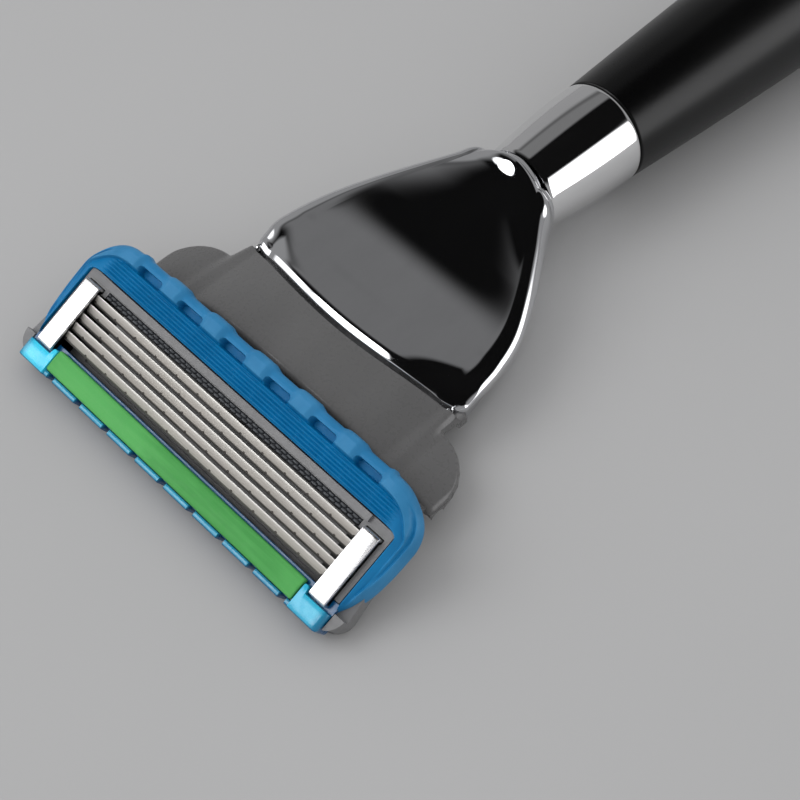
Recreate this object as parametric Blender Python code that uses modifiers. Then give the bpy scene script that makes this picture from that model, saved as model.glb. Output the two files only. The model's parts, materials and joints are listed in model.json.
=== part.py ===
"""Cartridge razor: a five-blade pivoting cartridge on a chrome head and a long black handle.

The razor lies face up on a flat surface. +X runs along the blades, +Y from the cartridge
to the butt of the handle, +Z up. The barrel of the grip and the lower back edge of the
cartridge touch the surface, z = 0, and the origin is under the middle of the razor.
Cartridge pieces are drawn in the face's own axes: X along the blades, Y from the lubricating
strip to the guard, Z out of the face, measured from the pivot.
"""

import math

import bmesh
import bpy

MM = 0.001  # one millimetre in scene units; every size below is in millimetres
WELD = 0.00001  # metres, the merge distance of every modifier that merges

# Clearances
SEAT_GAP = 0.05  # between pieces that are pressed, welded or glued together
FIT_GAP = 0.1  # between pieces that are screwed or snapped together
RUN_GAP = 0.2  # round anything that slides

# Cartridge, in face axes: v from the strip to the guard, n out of the face, 0 at the clips
TILT = math.radians(29.6)
BLADE_HALF = 18.6
HOUSING_HALF = BLADE_HALF + 2.6
HOUSING_BACK = -5.45
HOUSING_GUARD = 3.4
HOUSING_BOTTOM = -3.2
HOUSING_TOP = -0.75
HOUSING_CORNER = 2.0
SHELF_TOP = -1.6
SHELF_BOTTOM = -2.2
WELL_FRONT = 3.15
WINDOW_HALF = BLADE_HALF - 3.1
WINDOW_FRONT = 2.9
LEDGE_DEPTH = -2.85
BAR_BACK = 4.0
BAR_FRONT = 4.7
BAR_TOP = -0.35
COMB_HALF = BLADE_HALF - 2.0
COMB_BACK = 3.2
COMB_FRONT = BAR_BACK - 0.2
COMB_TOP = -0.3
COMB_BOTTOM = -1.25
COMB_SEAT = 3.0
BLADE_COUNT = 5
BLADE_PITCH = 1.05
FIRST_EDGE = -1.2
BLADE_TOP = -0.4
BLADE_WIDTH = 0.98
BLADE_THICK = 0.1
BLADE_SLOPE = math.radians(22)
BLADE_HONE = 0.25
SUPPORT_START = 0.4
SUPPORT_THICK = 0.16
SUPPORT_FOOT = -2.45
CLIP_CENTRE = BLADE_HALF - 0.34
CLIP_WIDTH = 1.9
CLIP_REACH = 3.64
CLIP_THICK = 0.32
CLIP_FOOT = 0.7
CAP_BACK = -5.75
CAP_RAIL_FRONT = -5.15
CAP_FRONT = -2.95
CAP_FLOOR = -1.35
CAP_BASE = 0.45
CAP_RAIL_TOP = -0.15
CAP_RAIL_BOTTOM = -2.4
CAP_HALF = HOUSING_HALF - 1.2
CAP_END_REACH = 0.7  # how far an end piece runs past the strip beside the clip
STRIP_HALF = COMB_HALF - 0.2
STRIP_TOP = 0.1
TOOTH_PITCH = 3.9
TOOTH_COUNT = 9
TOOTH_GAP = 0.5
TRIMMER_HALF = WINDOW_HALF
TRIMMER_THICK = 0.1
GUARD_HALF = HOUSING_HALF + 0.4
GUARD_EDGE = 8.7
GUARD_TOP = -0.05
GUARD_CORNER = 4.2
GUARD_ARM_END = -3.2
GUARD_ARM = 1.7
GUARD_TUCK = 0.9  # how far an arm's end is drawn in
GUARD_WAIST = 0.25
SHELF_INSET = 0.6
SLOT_SHARES = (0.134, 0.4, 0.657)  # of the guard's half width
SLOT_HALF = 1.5
SLOT_BACK = 6.9
SLOT_FRONT = 7.6
PIVOT_V = 5.0
PIVOT_N = -3.8
LUG_RADIUS = 1.2
LUG_OUTER = BLADE_HALF - 2.2
LUG_INNER = LUG_OUTER - 1.5
FAR = 25.0  # past every piece of the cartridge, for cutters

# Pivot and plunger
PIN_RADIUS = 0.5
CAM_LEVER = 1.6
CAM_LEAD = 1.0
CAM_HALF = 1.5
CAM_TOE = 0.5
CAM_SOLE = 0.3
CAM_HEEL = -1.9
PIVOT_RANGE = math.radians(40)
PLUNGER_RADIUS = 1.1
PLUNGER_STEM = 0.7
PLUNGER_RISE = 0.73
PLUNGER_CHAMFER = 0.2
STEM_PROUD = 0.25  # how far the stem reaches into the retainer
RETAINER_INSET = 1.3
RETAINER_THICK = 1.2
FLANGE_BACK = 4.8
FLANGE_THICK = 0.8
FLANGE_RADIUS = 1.5
SPRING_WIRE = 0.16
SPRING_TURNS = 6

# Connector yoke, measured back from the pivot in Y and up from the surface in Z
EAR_WIDTH = 1.6
YOKE_FRONT = 3.4
YOKE_BACK = 9.9
YOKE_HALF = LUG_OUTER + RUN_GAP + EAR_WIDTH + 0.7
YOKE_ROUND = 0.75  # the wings' corner radius as a share of their depth
WING_BOTTOM = 3.2
WING_TOP = 5.2
SOCKET_WALL = 0.7
SOCKET_SIDE = 1.6
BORE_GAP = 0.04

# Docking nose
NOSE_HALF = 7.0
NOSE_BOTTOM = 1.8
NOSE_TOP = 5.7
HEAD_FRONT = 10.3  # the head's front lip, behind the pivot
NOSE_BACK = HEAD_FRONT + 5.5

# Head casing, measured from the front lip in Y and from the handle's axis in Z
HEAD_LENGTH = 23.6
HEAD_HALF = 13.7
HEAD_WALL = 0.9
LIP_BULGE = 1.9
LIP_FADE = 0.35  # share of the length over which the lip's bulge dies away
BROW_ROLL = 2.2
WALL_LEAN = 0.7
SHIELD_BOTTOM = -3.7
BASE_TOP = SHIELD_BOTTOM - 0.1
BASE_BOTTOM = -6.2
BASE_FLOOR = 0.7
BASE_INSET = 1.0
BOSS_WALL = 0.8
BOSS_LENGTH = 4.0
ROD_GAP = 0.08
ROD_INSET = 0.6
REAR_GAP = 0.35  # between the boss and the inside of the rear wall
# share of the length, share of the half width, height of the side's brow, height of the middle
HEAD_STATIONS = (
    (0.00, 1.000, -1.5, -0.1),
    (0.08, 0.995, -0.2, 0.1),
    (0.22, 0.955, 0.8, 0.35),
    (0.40, 0.850, 1.3, 1.2),
    (0.56, 0.700, 1.8, 2.65),
    (0.72, 0.545, 2.7, 4.25),
    (0.86, 0.430, 3.6, 5.6),
    (0.95, 0.380, 4.0, 6.3),
    (1.00, 0.345, 3.2, 5.5),
)

# Release button and ejector, measured from the head's front lip in Y
BUTTON_TRAVEL = 3.5
BUTTON_LENGTH = 5.6
BUTTON_BEHIND = 1.35  # between the button and the boss
BUTTON_START = HEAD_LENGTH - HEAD_WALL - REAR_GAP - BOSS_LENGTH - BUTTON_BEHIND - BUTTON_LENGTH
BUTTON_HALF = 4.0
BUTTON_PROUD = 0.25
FLANGE_SIDE = 1.2
RIB_COUNT = 4
RIB_WIDTH = 0.45
RIB_INSET = 0.7
BAR_DEPTH = 2.0
BAR_LEAD = 1.0
TAB_HALF = 1.6
TAB_DEPTH = 1.2
BUTTON_WIRE = 0.14
BUTTON_COIL = 1.0
BUTTON_TURNS = 5
BUTTON_COIL_HEIGHT = 2.1
PRONG_WIDTH = 1.0
PRONG_BOTTOM = 1.4
PRONG_HEIGHT = 1.2
SCREW_X = HEAD_HALF - 3.4
SCREW_BACK = 5.0
SCREW_RADIUS = 0.5
SCREW_HEAD = 0.9
SCREW_HEAD_THICK = 0.38
SCREW_SINK = 0.45
SCREW_BOSS = 1.0

# Handle, along its axis
AXIS_HEIGHT = 7.2  # the barrel's largest radius, so that it rests on the surface
COLLAR_FRONT_RADIUS = 4.5
COLLAR_BACK_RADIUS = 5.42
COLLAR_LENGTH = 11.7
SPIGOT_RADIUS = 3.5
SPIGOT_LENGTH = 5.0
ROD_RADIUS = 2.0
ROD_HOLE = ROD_RADIUS + FIT_GAP
GRIP_LENGTH = 81.0
GRIP_SWELL = 46.0
GRIP_END_RADIUS = 5.8
GRIP_BORE = 3.7
WEIGHT_START = 10.0
WEIGHT_LENGTH = 42.0
BUSH_LENGTH = 6.0
CAP_LENGTH = 12.0
CAP_FLAT_RADIUS = 4.4
CAP_DOME = 3.5
CAP_POCKET_RADIUS = 3.5
CAP_POCKET_DEPTH = 6.5
WASHER_THICK = 0.6
NUT_THICK = 2.4
NUT_RADIUS = 3.1

# Places that follow from the sizes
FACE_HEIGHT = -HOUSING_BACK * math.sin(TILT) - HOUSING_BOTTOM * math.cos(TILT)
PIVOT_Y = PIVOT_V * math.cos(TILT) - PIVOT_N * math.sin(TILT)
PIVOT_Z = FACE_HEIGHT + PIVOT_V * math.sin(TILT) + PIVOT_N * math.cos(TILT)
PLUNGER_Z = PIVOT_Z - CAM_LEVER + PLUNGER_RISE
PLUNGER_TIP = PIVOT_Y + CAM_LEAD + SEAT_GAP
YOKE_START = PIVOT_Y + YOKE_FRONT
YOKE_END = PIVOT_Y + YOKE_BACK
NOSE_START = YOKE_START + RUN_GAP
NOSE_END = PIVOT_Y + NOSE_BACK
RETAINER_Y = NOSE_END - RETAINER_INSET
PLUNGER_LENGTH = RETAINER_Y + STEM_PROUD - PLUNGER_TIP
HEAD_Y = PIVOT_Y + HEAD_FRONT
HEAD_END = HEAD_Y + HEAD_LENGTH
COLLAR_Y = HEAD_END + FIT_GAP
GRIP_Y = COLLAR_Y + COLLAR_LENGTH + FIT_GAP
GRIP_END = GRIP_Y + GRIP_LENGTH
CAP_Y = GRIP_END + FIT_GAP
BUTT_Y = CAP_Y + CAP_LENGTH
FRONT_Y = CAP_BACK * math.cos(TILT) - CAP_RAIL_TOP * math.sin(TILT)
MIDDLE_Y = (FRONT_Y + BUTT_Y) / 2
SPRING_RADIUS = (PLUNGER_STEM + FLANGE_RADIUS) / 2
BORE_RADIUS = FLANGE_RADIUS + FIT_GAP
SLOT_CENTRES = tuple(share * GUARD_HALF for share in SLOT_SHARES)

FINISHES = {
    "housing_plastic": ((0.16, 0.17, 0.18), 0.42, 0.0),
    "yoke_plastic": ((0.10, 0.10, 0.11), 0.35, 0.0),
    "guard_rubber": ((0.02, 0.16, 0.42), 0.55, 0.0),
    "cap_plastic": ((0.01, 0.30, 0.60), 0.25, 0.0),
    "strip_polymer": ((0.06, 0.30, 0.09), 0.50, 0.0),
    "blade_steel": ((0.55, 0.54, 0.51), 0.30, 1.0),
    "clip_aluminium": ((0.85, 0.85, 0.86), 0.20, 1.0),
    "head_chrome": ((0.66, 0.67, 0.68), 0.06, 1.0),
    "collar_chrome": ((0.78, 0.79, 0.80), 0.06, 1.0),
    "inner_plastic": ((0.04, 0.04, 0.045), 0.50, 0.0),
    "inner_steel": ((0.45, 0.45, 0.46), 0.35, 1.0),
    "grip_black": ((0.012, 0.012, 0.013), 0.45, 0.0),
}


# ---------------------------------------------------------------- scene helpers


def clear_scene():
    for item in list(bpy.data.objects):
        bpy.data.objects.remove(item, do_unlink=True)


def new_collection(name):
    made = bpy.data.collections.new(name)
    bpy.context.scene.collection.children.link(made)
    return made


def finish(name):
    """The material of this finish, made the first time it is asked for."""
    if name in bpy.data.materials:
        return bpy.data.materials[name]
    colour, roughness, metallic = FINISHES[name]
    material = bpy.data.materials.new(name)
    material.use_nodes = True
    shader = material.node_tree.nodes["Principled BSDF"]
    shader.inputs["Base Color"].default_value = (*colour, 1.0)
    shader.inputs["Roughness"].default_value = roughness
    shader.inputs["Metallic"].default_value = metallic
    return material


def empty(name, parent=None, place=(0, 0, 0), tilt=0.0):
    made = bpy.data.objects.new(name, None)
    made.empty_display_size = 3 * MM
    made.location = [MM * value for value in place]
    made.rotation_euler = (tilt, 0, 0)
    made.parent = parent
    PARTS.objects.link(made)
    return made


def piece(name, mesh, parent, finish_name):
    """A visible piece, whose mesh is in its parent's axes."""
    made = bpy.data.objects.new(name, mesh)
    made.parent = parent
    mesh.materials.append(finish(finish_name))
    mesh.shade_smooth()
    mesh.set_sharp_from_angle(angle=math.radians(35))
    PARTS.objects.link(made)
    return made


def combine(target, mesh, operation, solver):
    """Adds a Boolean of the mesh, which is in the axes of the target's parent."""
    helper = bpy.data.objects.new(f"{target.name}_{operation.lower()}_{len(target.modifiers)}", mesh)
    helper.parent = target.parent
    helper.hide_render = True
    helper.display_type = "WIRE"
    CUTTERS.objects.link(helper)
    modifier = target.modifiers.new(helper.name, "BOOLEAN")
    modifier.operation = operation
    modifier.solver = solver
    modifier.object = helper


def cut(target, mesh, solver="EXACT"):
    combine(target, mesh, "DIFFERENCE", solver)


def join(target, mesh, solver="EXACT"):
    combine(target, mesh, "UNION", solver)


# ---------------------------------------------------------------- mesh helpers


def mesh_of(shape, name, recalculate=False):
    """The mesh, in metres, of a shape drawn in millimetres."""
    if recalculate:
        bmesh.ops.recalc_face_normals(shape, faces=shape.faces)
    bmesh.ops.scale(shape, vec=(MM, MM, MM), verts=shape.verts)
    mesh = bpy.data.meshes.new(name)
    shape.to_mesh(mesh)
    shape.free()
    return mesh


def box(low, high):
    """A box between two corners."""
    shape = bmesh.new()
    bmesh.ops.create_cube(shape, size=1)
    bmesh.ops.scale(shape, vec=[b - a for a, b in zip(low, high)], verts=shape.verts)
    bmesh.ops.translate(shape, vec=[(a + b) / 2 for a, b in zip(low, high)], verts=shape.verts)
    return mesh_of(shape, "box")


def rod(radius, start, end, across=(0, 0), segments=24, axis="Y"):
    """A plain cylinder along X, Y or Z, with across giving its place in the other two axes."""
    shape = bmesh.new()
    bmesh.ops.create_cone(
        shape, cap_ends=True, segments=segments, radius1=radius, radius2=radius, depth=end - start
    )
    middle = (start + end) / 2
    order = {"X": (2, 0, 1), "Y": (1, 2, 0), "Z": (0, 1, 2)}[axis]
    spot = {"X": (middle, *across), "Y": (across[0], middle, across[1]), "Z": (*across, middle)}[axis]
    for vertex in shape.verts:
        own = vertex.co.copy()
        vertex.co = [own[order[i]] + spot[i] for i in range(3)]
    return mesh_of(shape, "rod")


def plate(outline, low, high, axis="Z"):
    """A flat outline given thickness along an axis: (x, y) along Z, or (y, z) along X."""
    curve = bpy.data.curves.new("outline", "CURVE")
    curve.dimensions = "2D"
    curve.fill_mode = "BOTH"
    curve.extrude = (high - low) / 2
    spline = curve.splines.new("POLY")
    spline.points.add(len(outline) - 1)
    for point, (a, b) in zip(spline.points, outline):
        point.co = (a, b, 0, 1)
    spline.use_cyclic_u = True
    drawn = bpy.data.objects.new("outline", curve)
    CUTTERS.objects.link(drawn)
    graph = bpy.context.evaluated_depsgraph_get()
    mesh = bpy.data.meshes.new_from_object(drawn.evaluated_get(graph))
    bpy.data.objects.remove(drawn, do_unlink=True)
    shape = bmesh.new()
    shape.from_mesh(mesh)
    bmesh.ops.remove_doubles(shape, verts=shape.verts, dist=WELD)
    shift = (low + high) / 2
    for vertex in shape.verts:
        a, b, c = vertex.co
        vertex.co = (a, b, c + shift) if axis == "Z" else (c + shift, a, b)
    return mesh_of(shape, "plate", recalculate=True)


def arc(centre, radius, start, end, steps):
    """Points along an arc, angles in degrees."""
    turns = [math.radians(start + (end - start) * i / steps) for i in range(steps + 1)]
    return [(centre[0] + radius * math.cos(t), centre[1] + radius * math.sin(t)) for t in turns]


def rounded_rectangle(low, high, radius, steps=4):
    (x0, y0), (x1, y1) = low, high
    corners = (((x1, y1), 0), ((x0, y1), 90), ((x0, y0), 180), ((x1, y0), 270))
    points = []
    for (x, y), start in corners:
        centre = (x - math.copysign(radius, x - (x0 + x1) / 2), y - math.copysign(radius, y - (y0 + y1) / 2))
        points += arc(centre, radius, start, start + 90, steps)
    return points


def mirrored(half):
    """An outline whose right half is given from front to back, closed by its mirror image."""
    return half + [(-x, y) for x, y in reversed(half) if abs(x) > 1e-6]


def turned(name, profile, parent, finish_name, start, height=AXIS_HEIGHT, segments=32):
    """A piece turned about an axis along Y: the profile is (radius, distance) from the butt end forward.

    The profile runs from high to low distance on its outer side. Both ends lie on the axis, or it is closed.
    """
    closed = profile[0][0] > 0
    count = len(profile)
    edges = [(i, (i + 1) % count) for i in range(count if closed else count - 1)]
    mesh = bpy.data.meshes.new(name)
    mesh.from_pydata([(r * MM, 0, d * MM) for r, d in profile], edges, [])
    made = piece(name, mesh, parent, finish_name)
    made.location = (0, start * MM, height * MM)
    made.rotation_euler = (-math.pi / 2, 0, 0)
    screw = made.modifiers.new("turned", "SCREW")
    screw.axis = "Z"
    screw.steps = segments
    screw.render_steps = segments
    screw.use_merge_vertices = True
    screw.merge_threshold = WELD
    screw.use_smooth_shade = True
    return made


def coil(name, parent, start, end, height, radius, wire, turns):
    """A closed-end compression spring along Y."""
    steps = 9
    curve = bpy.data.curves.new(name, "CURVE")
    curve.dimensions = "3D"
    curve.bevel_depth = wire * MM
    curve.bevel_resolution = 1
    curve.use_fill_caps = True
    spline = curve.splines.new("POLY")
    count = turns * steps
    spline.points.add(count)
    for i, point in enumerate(spline.points):
        turn = 2 * math.pi * i / steps
        along = start + wire + (end - start - 2 * wire) * i / count
        spot = (radius * math.cos(turn), along, height + radius * math.sin(turn))
        point.co = (*[MM * value for value in spot], 1)
    made = bpy.data.objects.new(name, curve)
    made.parent = parent
    curve.materials.append(finish("inner_steel"))
    PARTS.objects.link(made)
    return made


def smooth_step(stations, share, column):
    """A smooth curve through the stations: Catmull-Rom between rows, by the share in the first column."""
    last = len(stations) - 1
    share = min(max(share, 0.0), 1.0)
    i = min(max(sum(share >= row[0] for row in stations) - 1, 0), last - 1)
    before, a, b, after = (stations[min(max(k, 0), last)] for k in (i - 1, i, i + 1, i + 2))
    span = b[0] - a[0]
    t = (share - a[0]) / span
    slope_a = (b[column] - before[column]) / max(b[0] - before[0], 1e-9) * span
    slope_b = (after[column] - a[column]) / max(after[0] - a[0], 1e-9) * span
    if i == 0:
        slope_a = b[column] - a[column]
    if i == last - 1:
        slope_b = b[column] - a[column]
    return (
        (2 * t**3 - 3 * t**2 + 1) * a[column]
        + (t**3 - 2 * t**2 + t) * slope_a
        + (3 * t**2 - 2 * t**3) * b[column]
        + (t**3 - t**2) * slope_b
    )


# ---------------------------------------------------------------- cartridge


def local(v, n):
    """A point of the face, measured from the pivot."""
    return v - PIVOT_V, n - PIVOT_N


def face_box(u0, u1, v0, v1, n0, n1):
    (y0, z0), (y1, z1) = local(v0, n0), local(v1, n1)
    return box((u0, y0, z0), (u1, y1, z1))


def face_plate(outline, n0, n1):
    """An outline in (u, v), given thickness along the face's normal."""
    return plate([(u, v - PIVOT_V) for u, v in outline], n0 - PIVOT_N, n1 - PIVOT_N)


def cam_outline():
    """The cam below the pivot: an involute flank that keeps the plunger's travel in step with the turn.

    The plunger's flat tip touches the involute of a circle of radius CAM_LEVER, so its travel is
    CAM_LEVER times the angle. Each flank point is the contact point turned back by that angle.
    """
    steps = 6
    flank = []
    for i in range(steps + 1):
        turn = PIVOT_RANGE * i / steps
        reach, drop = CAM_LEAD + CAM_LEVER * turn, -CAM_LEVER
        flank.append(
            (
                reach * math.cos(turn) + drop * math.sin(turn),
                -reach * math.sin(turn) + drop * math.cos(turn),
            )
        )
    toe = (flank[-1][0] - CAM_TOE, flank[-1][1] - CAM_SOLE)
    heel = (CAM_HEEL, toe[1] + 1.0)
    below = [
        (y * math.cos(TILT) + z * math.sin(TILT), -y * math.sin(TILT) + z * math.cos(TILT))
        for y, z in flank + [toe, heel]
    ]
    middle = (SHELF_TOP + SHELF_BOTTOM) / 2
    return below + [local(HOUSING_GUARD - 0.4, middle), local(PIVOT_V + 1.8, middle)]


def housing(axis):
    body = face_plate(
        rounded_rectangle(
            (-HOUSING_HALF, HOUSING_BACK), (HOUSING_HALF, BAR_FRONT), HOUSING_CORNER, steps=6
        ),
        HOUSING_BOTTOM,
        HOUSING_TOP,
    )
    made = piece("cartridge_housing", body, axis, "housing_plastic")
    below_guard = (HOUSING_GUARD, BAR_FRONT + 1)
    cut(made, face_box(-FAR, FAR, *below_guard, HOUSING_BOTTOM - 1, SHELF_BOTTOM))
    shelf = guard_outline(SHELF_INSET)
    join(made, face_plate(shelf, SHELF_BOTTOM, SHELF_TOP))
    bar_half = COMB_HALF + 0.6
    join(made, face_box(-bar_half, bar_half, BAR_BACK, BAR_FRONT, SHELF_BOTTOM, BAR_TOP))
    well_half = BLADE_HALF + RUN_GAP
    cut(made, face_box(-well_half, well_half, CAP_FRONT + 0.1, WELL_FRONT, LEDGE_DEPTH, 1))
    cut(made, face_box(-WINDOW_HALF, WINDOW_HALF, CAP_FRONT + 0.4, WINDOW_FRONT, HOUSING_BOTTOM - 1, 1))
    comb_half = COMB_HALF + FIT_GAP
    comb_floor = COMB_BOTTOM - SEAT_GAP
    cut(made, face_box(-comb_half, comb_half, COMB_SEAT, COMB_FRONT + SEAT_GAP, comb_floor, 1))
    cap_half = CAP_HALF + FIT_GAP
    cut(made, face_box(-cap_half, cap_half, -FAR, CAP_FRONT + 0.3, CAP_FLOOR, 1))
    trimmer_seat = CAP_RAIL_FRONT + TRIMMER_THICK + 2 * SEAT_GAP
    cut(made, face_box(-FAR, FAR, -FAR, trimmer_seat, CAP_RAIL_BOTTOM - FIT_GAP, CAP_FLOOR + 0.3))
    arm_inner = GUARD_HALF - GUARD_ARM - FIT_GAP
    for side in (-1, 1):
        u0, u1 = sorted((side * arm_inner, side * FAR))
        cut(made, face_box(u0, u1, GUARD_ARM_END - 0.3, FAR, SHELF_TOP, 1))
        clip_half = CLIP_WIDTH / 2 + FIT_GAP
        centre = side * CLIP_CENTRE
        reach = CLIP_REACH + FIT_GAP
        inner = CLIP_REACH - CLIP_THICK - FIT_GAP
        for end in (-1, 1):
            v0, v1 = sorted((end * inner, end * reach))
            cut(made, face_box(centre - clip_half, centre + clip_half, v0, v1, -FAR, 1))
        strap_floor = -CLIP_THICK - FIT_GAP
        cut(made, face_box(centre - clip_half, centre + clip_half, -reach, reach, strap_floor, 1))
        lug = sorted((side * LUG_INNER, side * LUG_OUTER))
        join(made, rod(LUG_RADIUS, *lug, axis="X", segments=16))
        join(made, box((lug[0], -LUG_RADIUS, 0), (lug[1], LUG_RADIUS, SHELF_TOP - PIVOT_N - 0.2)))
        cut(made, rod(PIN_RADIUS + 0.08, lug[0] - 1, lug[1] + 1, axis="X", segments=16))
    join(made, plate(cam_outline(), -CAM_HALF, CAM_HALF, axis="X"))


def guard_outline(inset=0.0):
    """The guard's outer edge: straight along the front, with round corners and drawn-in arms."""
    half = GUARD_HALF - inset
    edge = GUARD_EDGE - inset
    radius = GUARD_CORNER
    corner = arc((half - radius, edge - radius), radius, 0, 90, 6)
    right = [(half - GUARD_TUCK, GUARD_ARM_END), (half - GUARD_WAIST, 0.0)] + corner
    return right + [(-u, v) for u, v in reversed(right)]


def guard_elastomer(axis):
    body = face_plate(guard_outline(), SHELF_TOP + SEAT_GAP, GUARD_TOP)
    made = piece("guard_elastomer", body, axis, "guard_rubber")
    inner = GUARD_HALF - GUARD_ARM
    cut(made, face_box(-inner, inner, -FAR, BAR_FRONT + FIT_GAP, -FAR, FAR))
    for centre in SLOT_CENTRES:
        for side in (-1, 1):
            middle = side * centre
            cut(made, face_box(middle - SLOT_HALF, middle + SLOT_HALF, SLOT_BACK, SLOT_FRONT, -FAR, FAR))


def comb_strip(axis):
    body = face_box(-COMB_HALF, COMB_HALF, COMB_BACK, COMB_FRONT, COMB_BOTTOM, COMB_TOP)
    piece("comb_strip", body, axis, "housing_plastic")


def blade(axis, index):
    """A thin blade sloping down from its edge, on a bent support whose leg stands in the housing."""
    edge = FIRST_EDGE + BLADE_PITCH * index
    run, fall = math.cos(BLADE_SLOPE), math.sin(BLADE_SLOPE)

    def under(along, depth):
        """A point a distance along the blade from its edge, and a depth below its upper face."""
        return local(edge - along * run + depth * fall, BLADE_TOP - along * fall - depth * run)

    carrier = empty(f"blade_{index + 1}_float", axis)
    strip = [under(0, 0), under(BLADE_WIDTH, 0), under(BLADE_WIDTH, BLADE_THICK), under(BLADE_HONE, BLADE_THICK)]
    piece(f"blade_{index + 1}", plate(strip, -BLADE_HALF, BLADE_HALF, "X"), carrier, "blade_steel")
    top = BLADE_THICK + SEAT_GAP
    bottom = top + SUPPORT_THICK
    leg_front = under(BLADE_WIDTH - 0.2, bottom)
    leg_back = leg_front[0] - SUPPORT_THICK
    foot = SUPPORT_FOOT - PIVOT_N
    bent = [
        under(SUPPORT_START, top),
        under(BLADE_WIDTH - 0.05, top),
        (leg_back, under(BLADE_WIDTH, top)[1] - 0.1),
        (leg_back, foot),
        (leg_front[0], foot),
        leg_front,
        under(SUPPORT_START, bottom),
    ]
    name = f"blade_support_{index + 1}"
    piece(name, plate(bent, -BLADE_HALF, BLADE_HALF, "X"), carrier, "inner_steel")


def clip(axis, name, side):
    """A strap over the blade ends, with legs through the housing bent inwards underneath."""
    half = CLIP_REACH
    thick = CLIP_THICK
    under = HOUSING_BOTTOM - SEAT_GAP
    outline = [
        (-half, 0),
        (-half, under - thick),
        (-half + CLIP_FOOT, under - thick),
        (-half + CLIP_FOOT, under),
        (-half + thick, under),
        (-half + thick, -thick),
    ]
    outline = outline + [(-v, n) for v, n in reversed(outline)]
    points = [local(v, n) for v, n in outline]
    centre = side * CLIP_CENTRE
    body = plate(points, centre - CLIP_WIDTH / 2, centre + CLIP_WIDTH / 2, "X")
    piece(name, body, axis, "clip_aluminium")


def cap_carrier(axis):
    """The carrier of the strip, with the toothed rail that guards the trimmer blade.

    Its profile has the rail at the back and full-height ends, and the strip's bed is cut out of it.
    """
    base = CAP_FLOOR + SEAT_GAP
    bed = base + CAP_BASE
    shoulder = -CLIP_REACH - 2 * FIT_GAP
    front = CAP_FRONT + 0.2
    outline = [
        (CAP_BACK, CAP_RAIL_BOTTOM),
        (CAP_RAIL_FRONT, CAP_RAIL_BOTTOM),
        (CAP_RAIL_FRONT, base),
        (front, base),
        (front, bed + 0.1),
        (shoulder, bed + 0.1),
        (shoulder, CAP_RAIL_TOP),
        (CAP_BACK, CAP_RAIL_TOP),
    ]
    body = plate([local(v, n) for v, n in outline], -CAP_HALF, CAP_HALF, "X")
    made = piece("cap_carrier", body, axis, "cap_plastic")
    bed_half = STRIP_HALF + FIT_GAP
    cut(made, face_box(-bed_half, bed_half, CAP_RAIL_FRONT, 0, bed, FAR))
    for side in (-1, 1):
        clip_room = sorted((side * (STRIP_HALF + CAP_END_REACH), side * FAR))
        cut(made, face_box(*clip_room, -CLIP_REACH - FIT_GAP, 0, -FAR, FAR))
    for i in range(TOOTH_COUNT):
        middle = TOOTH_PITCH * (i - (TOOTH_COUNT - 1) / 2)
        half = TOOTH_GAP / 2
        cut(made, face_box(middle - half, middle + half, -FAR, CAP_RAIL_FRONT - 0.25, -FAR, base + 0.2))


def lube_strip(axis):
    low = CAP_FLOOR + SEAT_GAP + CAP_BASE + SEAT_GAP
    body = face_box(-STRIP_HALF, STRIP_HALF, CAP_RAIL_FRONT + SEAT_GAP, CAP_FRONT, low, STRIP_TOP)
    piece("lube_strip", body, axis, "strip_polymer")


def trimmer_blade(axis):
    back = CAP_RAIL_FRONT + SEAT_GAP
    bottom = CAP_RAIL_BOTTOM
    body = face_box(-TRIMMER_HALF, TRIMMER_HALF, back, back + TRIMMER_THICK, bottom, CAP_FLOOR - SEAT_GAP)
    piece("trimmer_blade", body, axis, "blade_steel")


def build_cartridge(axis):
    housing(axis)
    guard_elastomer(axis)
    comb_strip(axis)
    cap_carrier(axis)
    lube_strip(axis)
    trimmer_blade(axis)
    clip(axis, "clip_left", -1)
    clip(axis, "clip_right", 1)
    for index in range(BLADE_COUNT):
        blade(axis, index)


# ---------------------------------------------------------------- yoke and nose


def connector_yoke(slide):
    """Wings with an ear at each end, and a socket in the middle that slips over the docking nose."""
    reach = YOKE_END - YOKE_START
    radius = YOKE_ROUND * reach
    back = arc((YOKE_HALF - radius, YOKE_END - radius), radius, 0, 90, 6)
    half = [(YOKE_HALF, YOKE_START), (YOKE_HALF, YOKE_START + 0.6)] + back
    wings = plate(mirrored(half), WING_BOTTOM, WING_TOP)
    made = piece("connector_yoke", wings, slide, "yoke_plastic")
    ear_inner = LUG_OUTER + RUN_GAP
    ear_outer = ear_inner + EAR_WIDTH
    wall = SOCKET_WALL
    nose_gap = RUN_GAP
    x1 = NOSE_HALF + nose_gap
    z0, z1 = NOSE_BOTTOM - nose_gap, NOSE_TOP + nose_gap
    side_wall = x1 + SOCKET_SIDE
    join(made, box((-side_wall, YOKE_START, z0 - wall), (side_wall, YOKE_END, z1 + wall)))
    cut(made, box((-x1, YOKE_START - 1, z0), (x1, YOKE_END + 1, z1)))
    for side in (-1, 1):
        span = sorted((side * ear_inner, side * ear_outer))
        join(made, rod(LUG_RADIUS, *span, across=(PIVOT_Y, PIVOT_Z), axis="X", segments=16))
        low = (span[0], PIVOT_Y, PIVOT_Z - LUG_RADIUS)
        join(made, box(low, (span[1], YOKE_START + 1, PIVOT_Z + 0.5 * LUG_RADIUS)))
        bore = PIN_RADIUS + BORE_GAP
        cut(made, rod(bore, span[0] - 0.2, span[1] + 1, across=(PIVOT_Y, PIVOT_Z), axis="X", segments=16))
        pin_span = sorted((side * (LUG_INNER - 0.2), side * (ear_outer - 0.1)))
        name = "pivot_pin_left" if side < 0 else "pivot_pin_right"
        body = rod(PIN_RADIUS, *pin_span, across=(PIVOT_Y, PIVOT_Z), axis="X", segments=16)
        piece(name, body, slide, "inner_steel")


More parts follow.
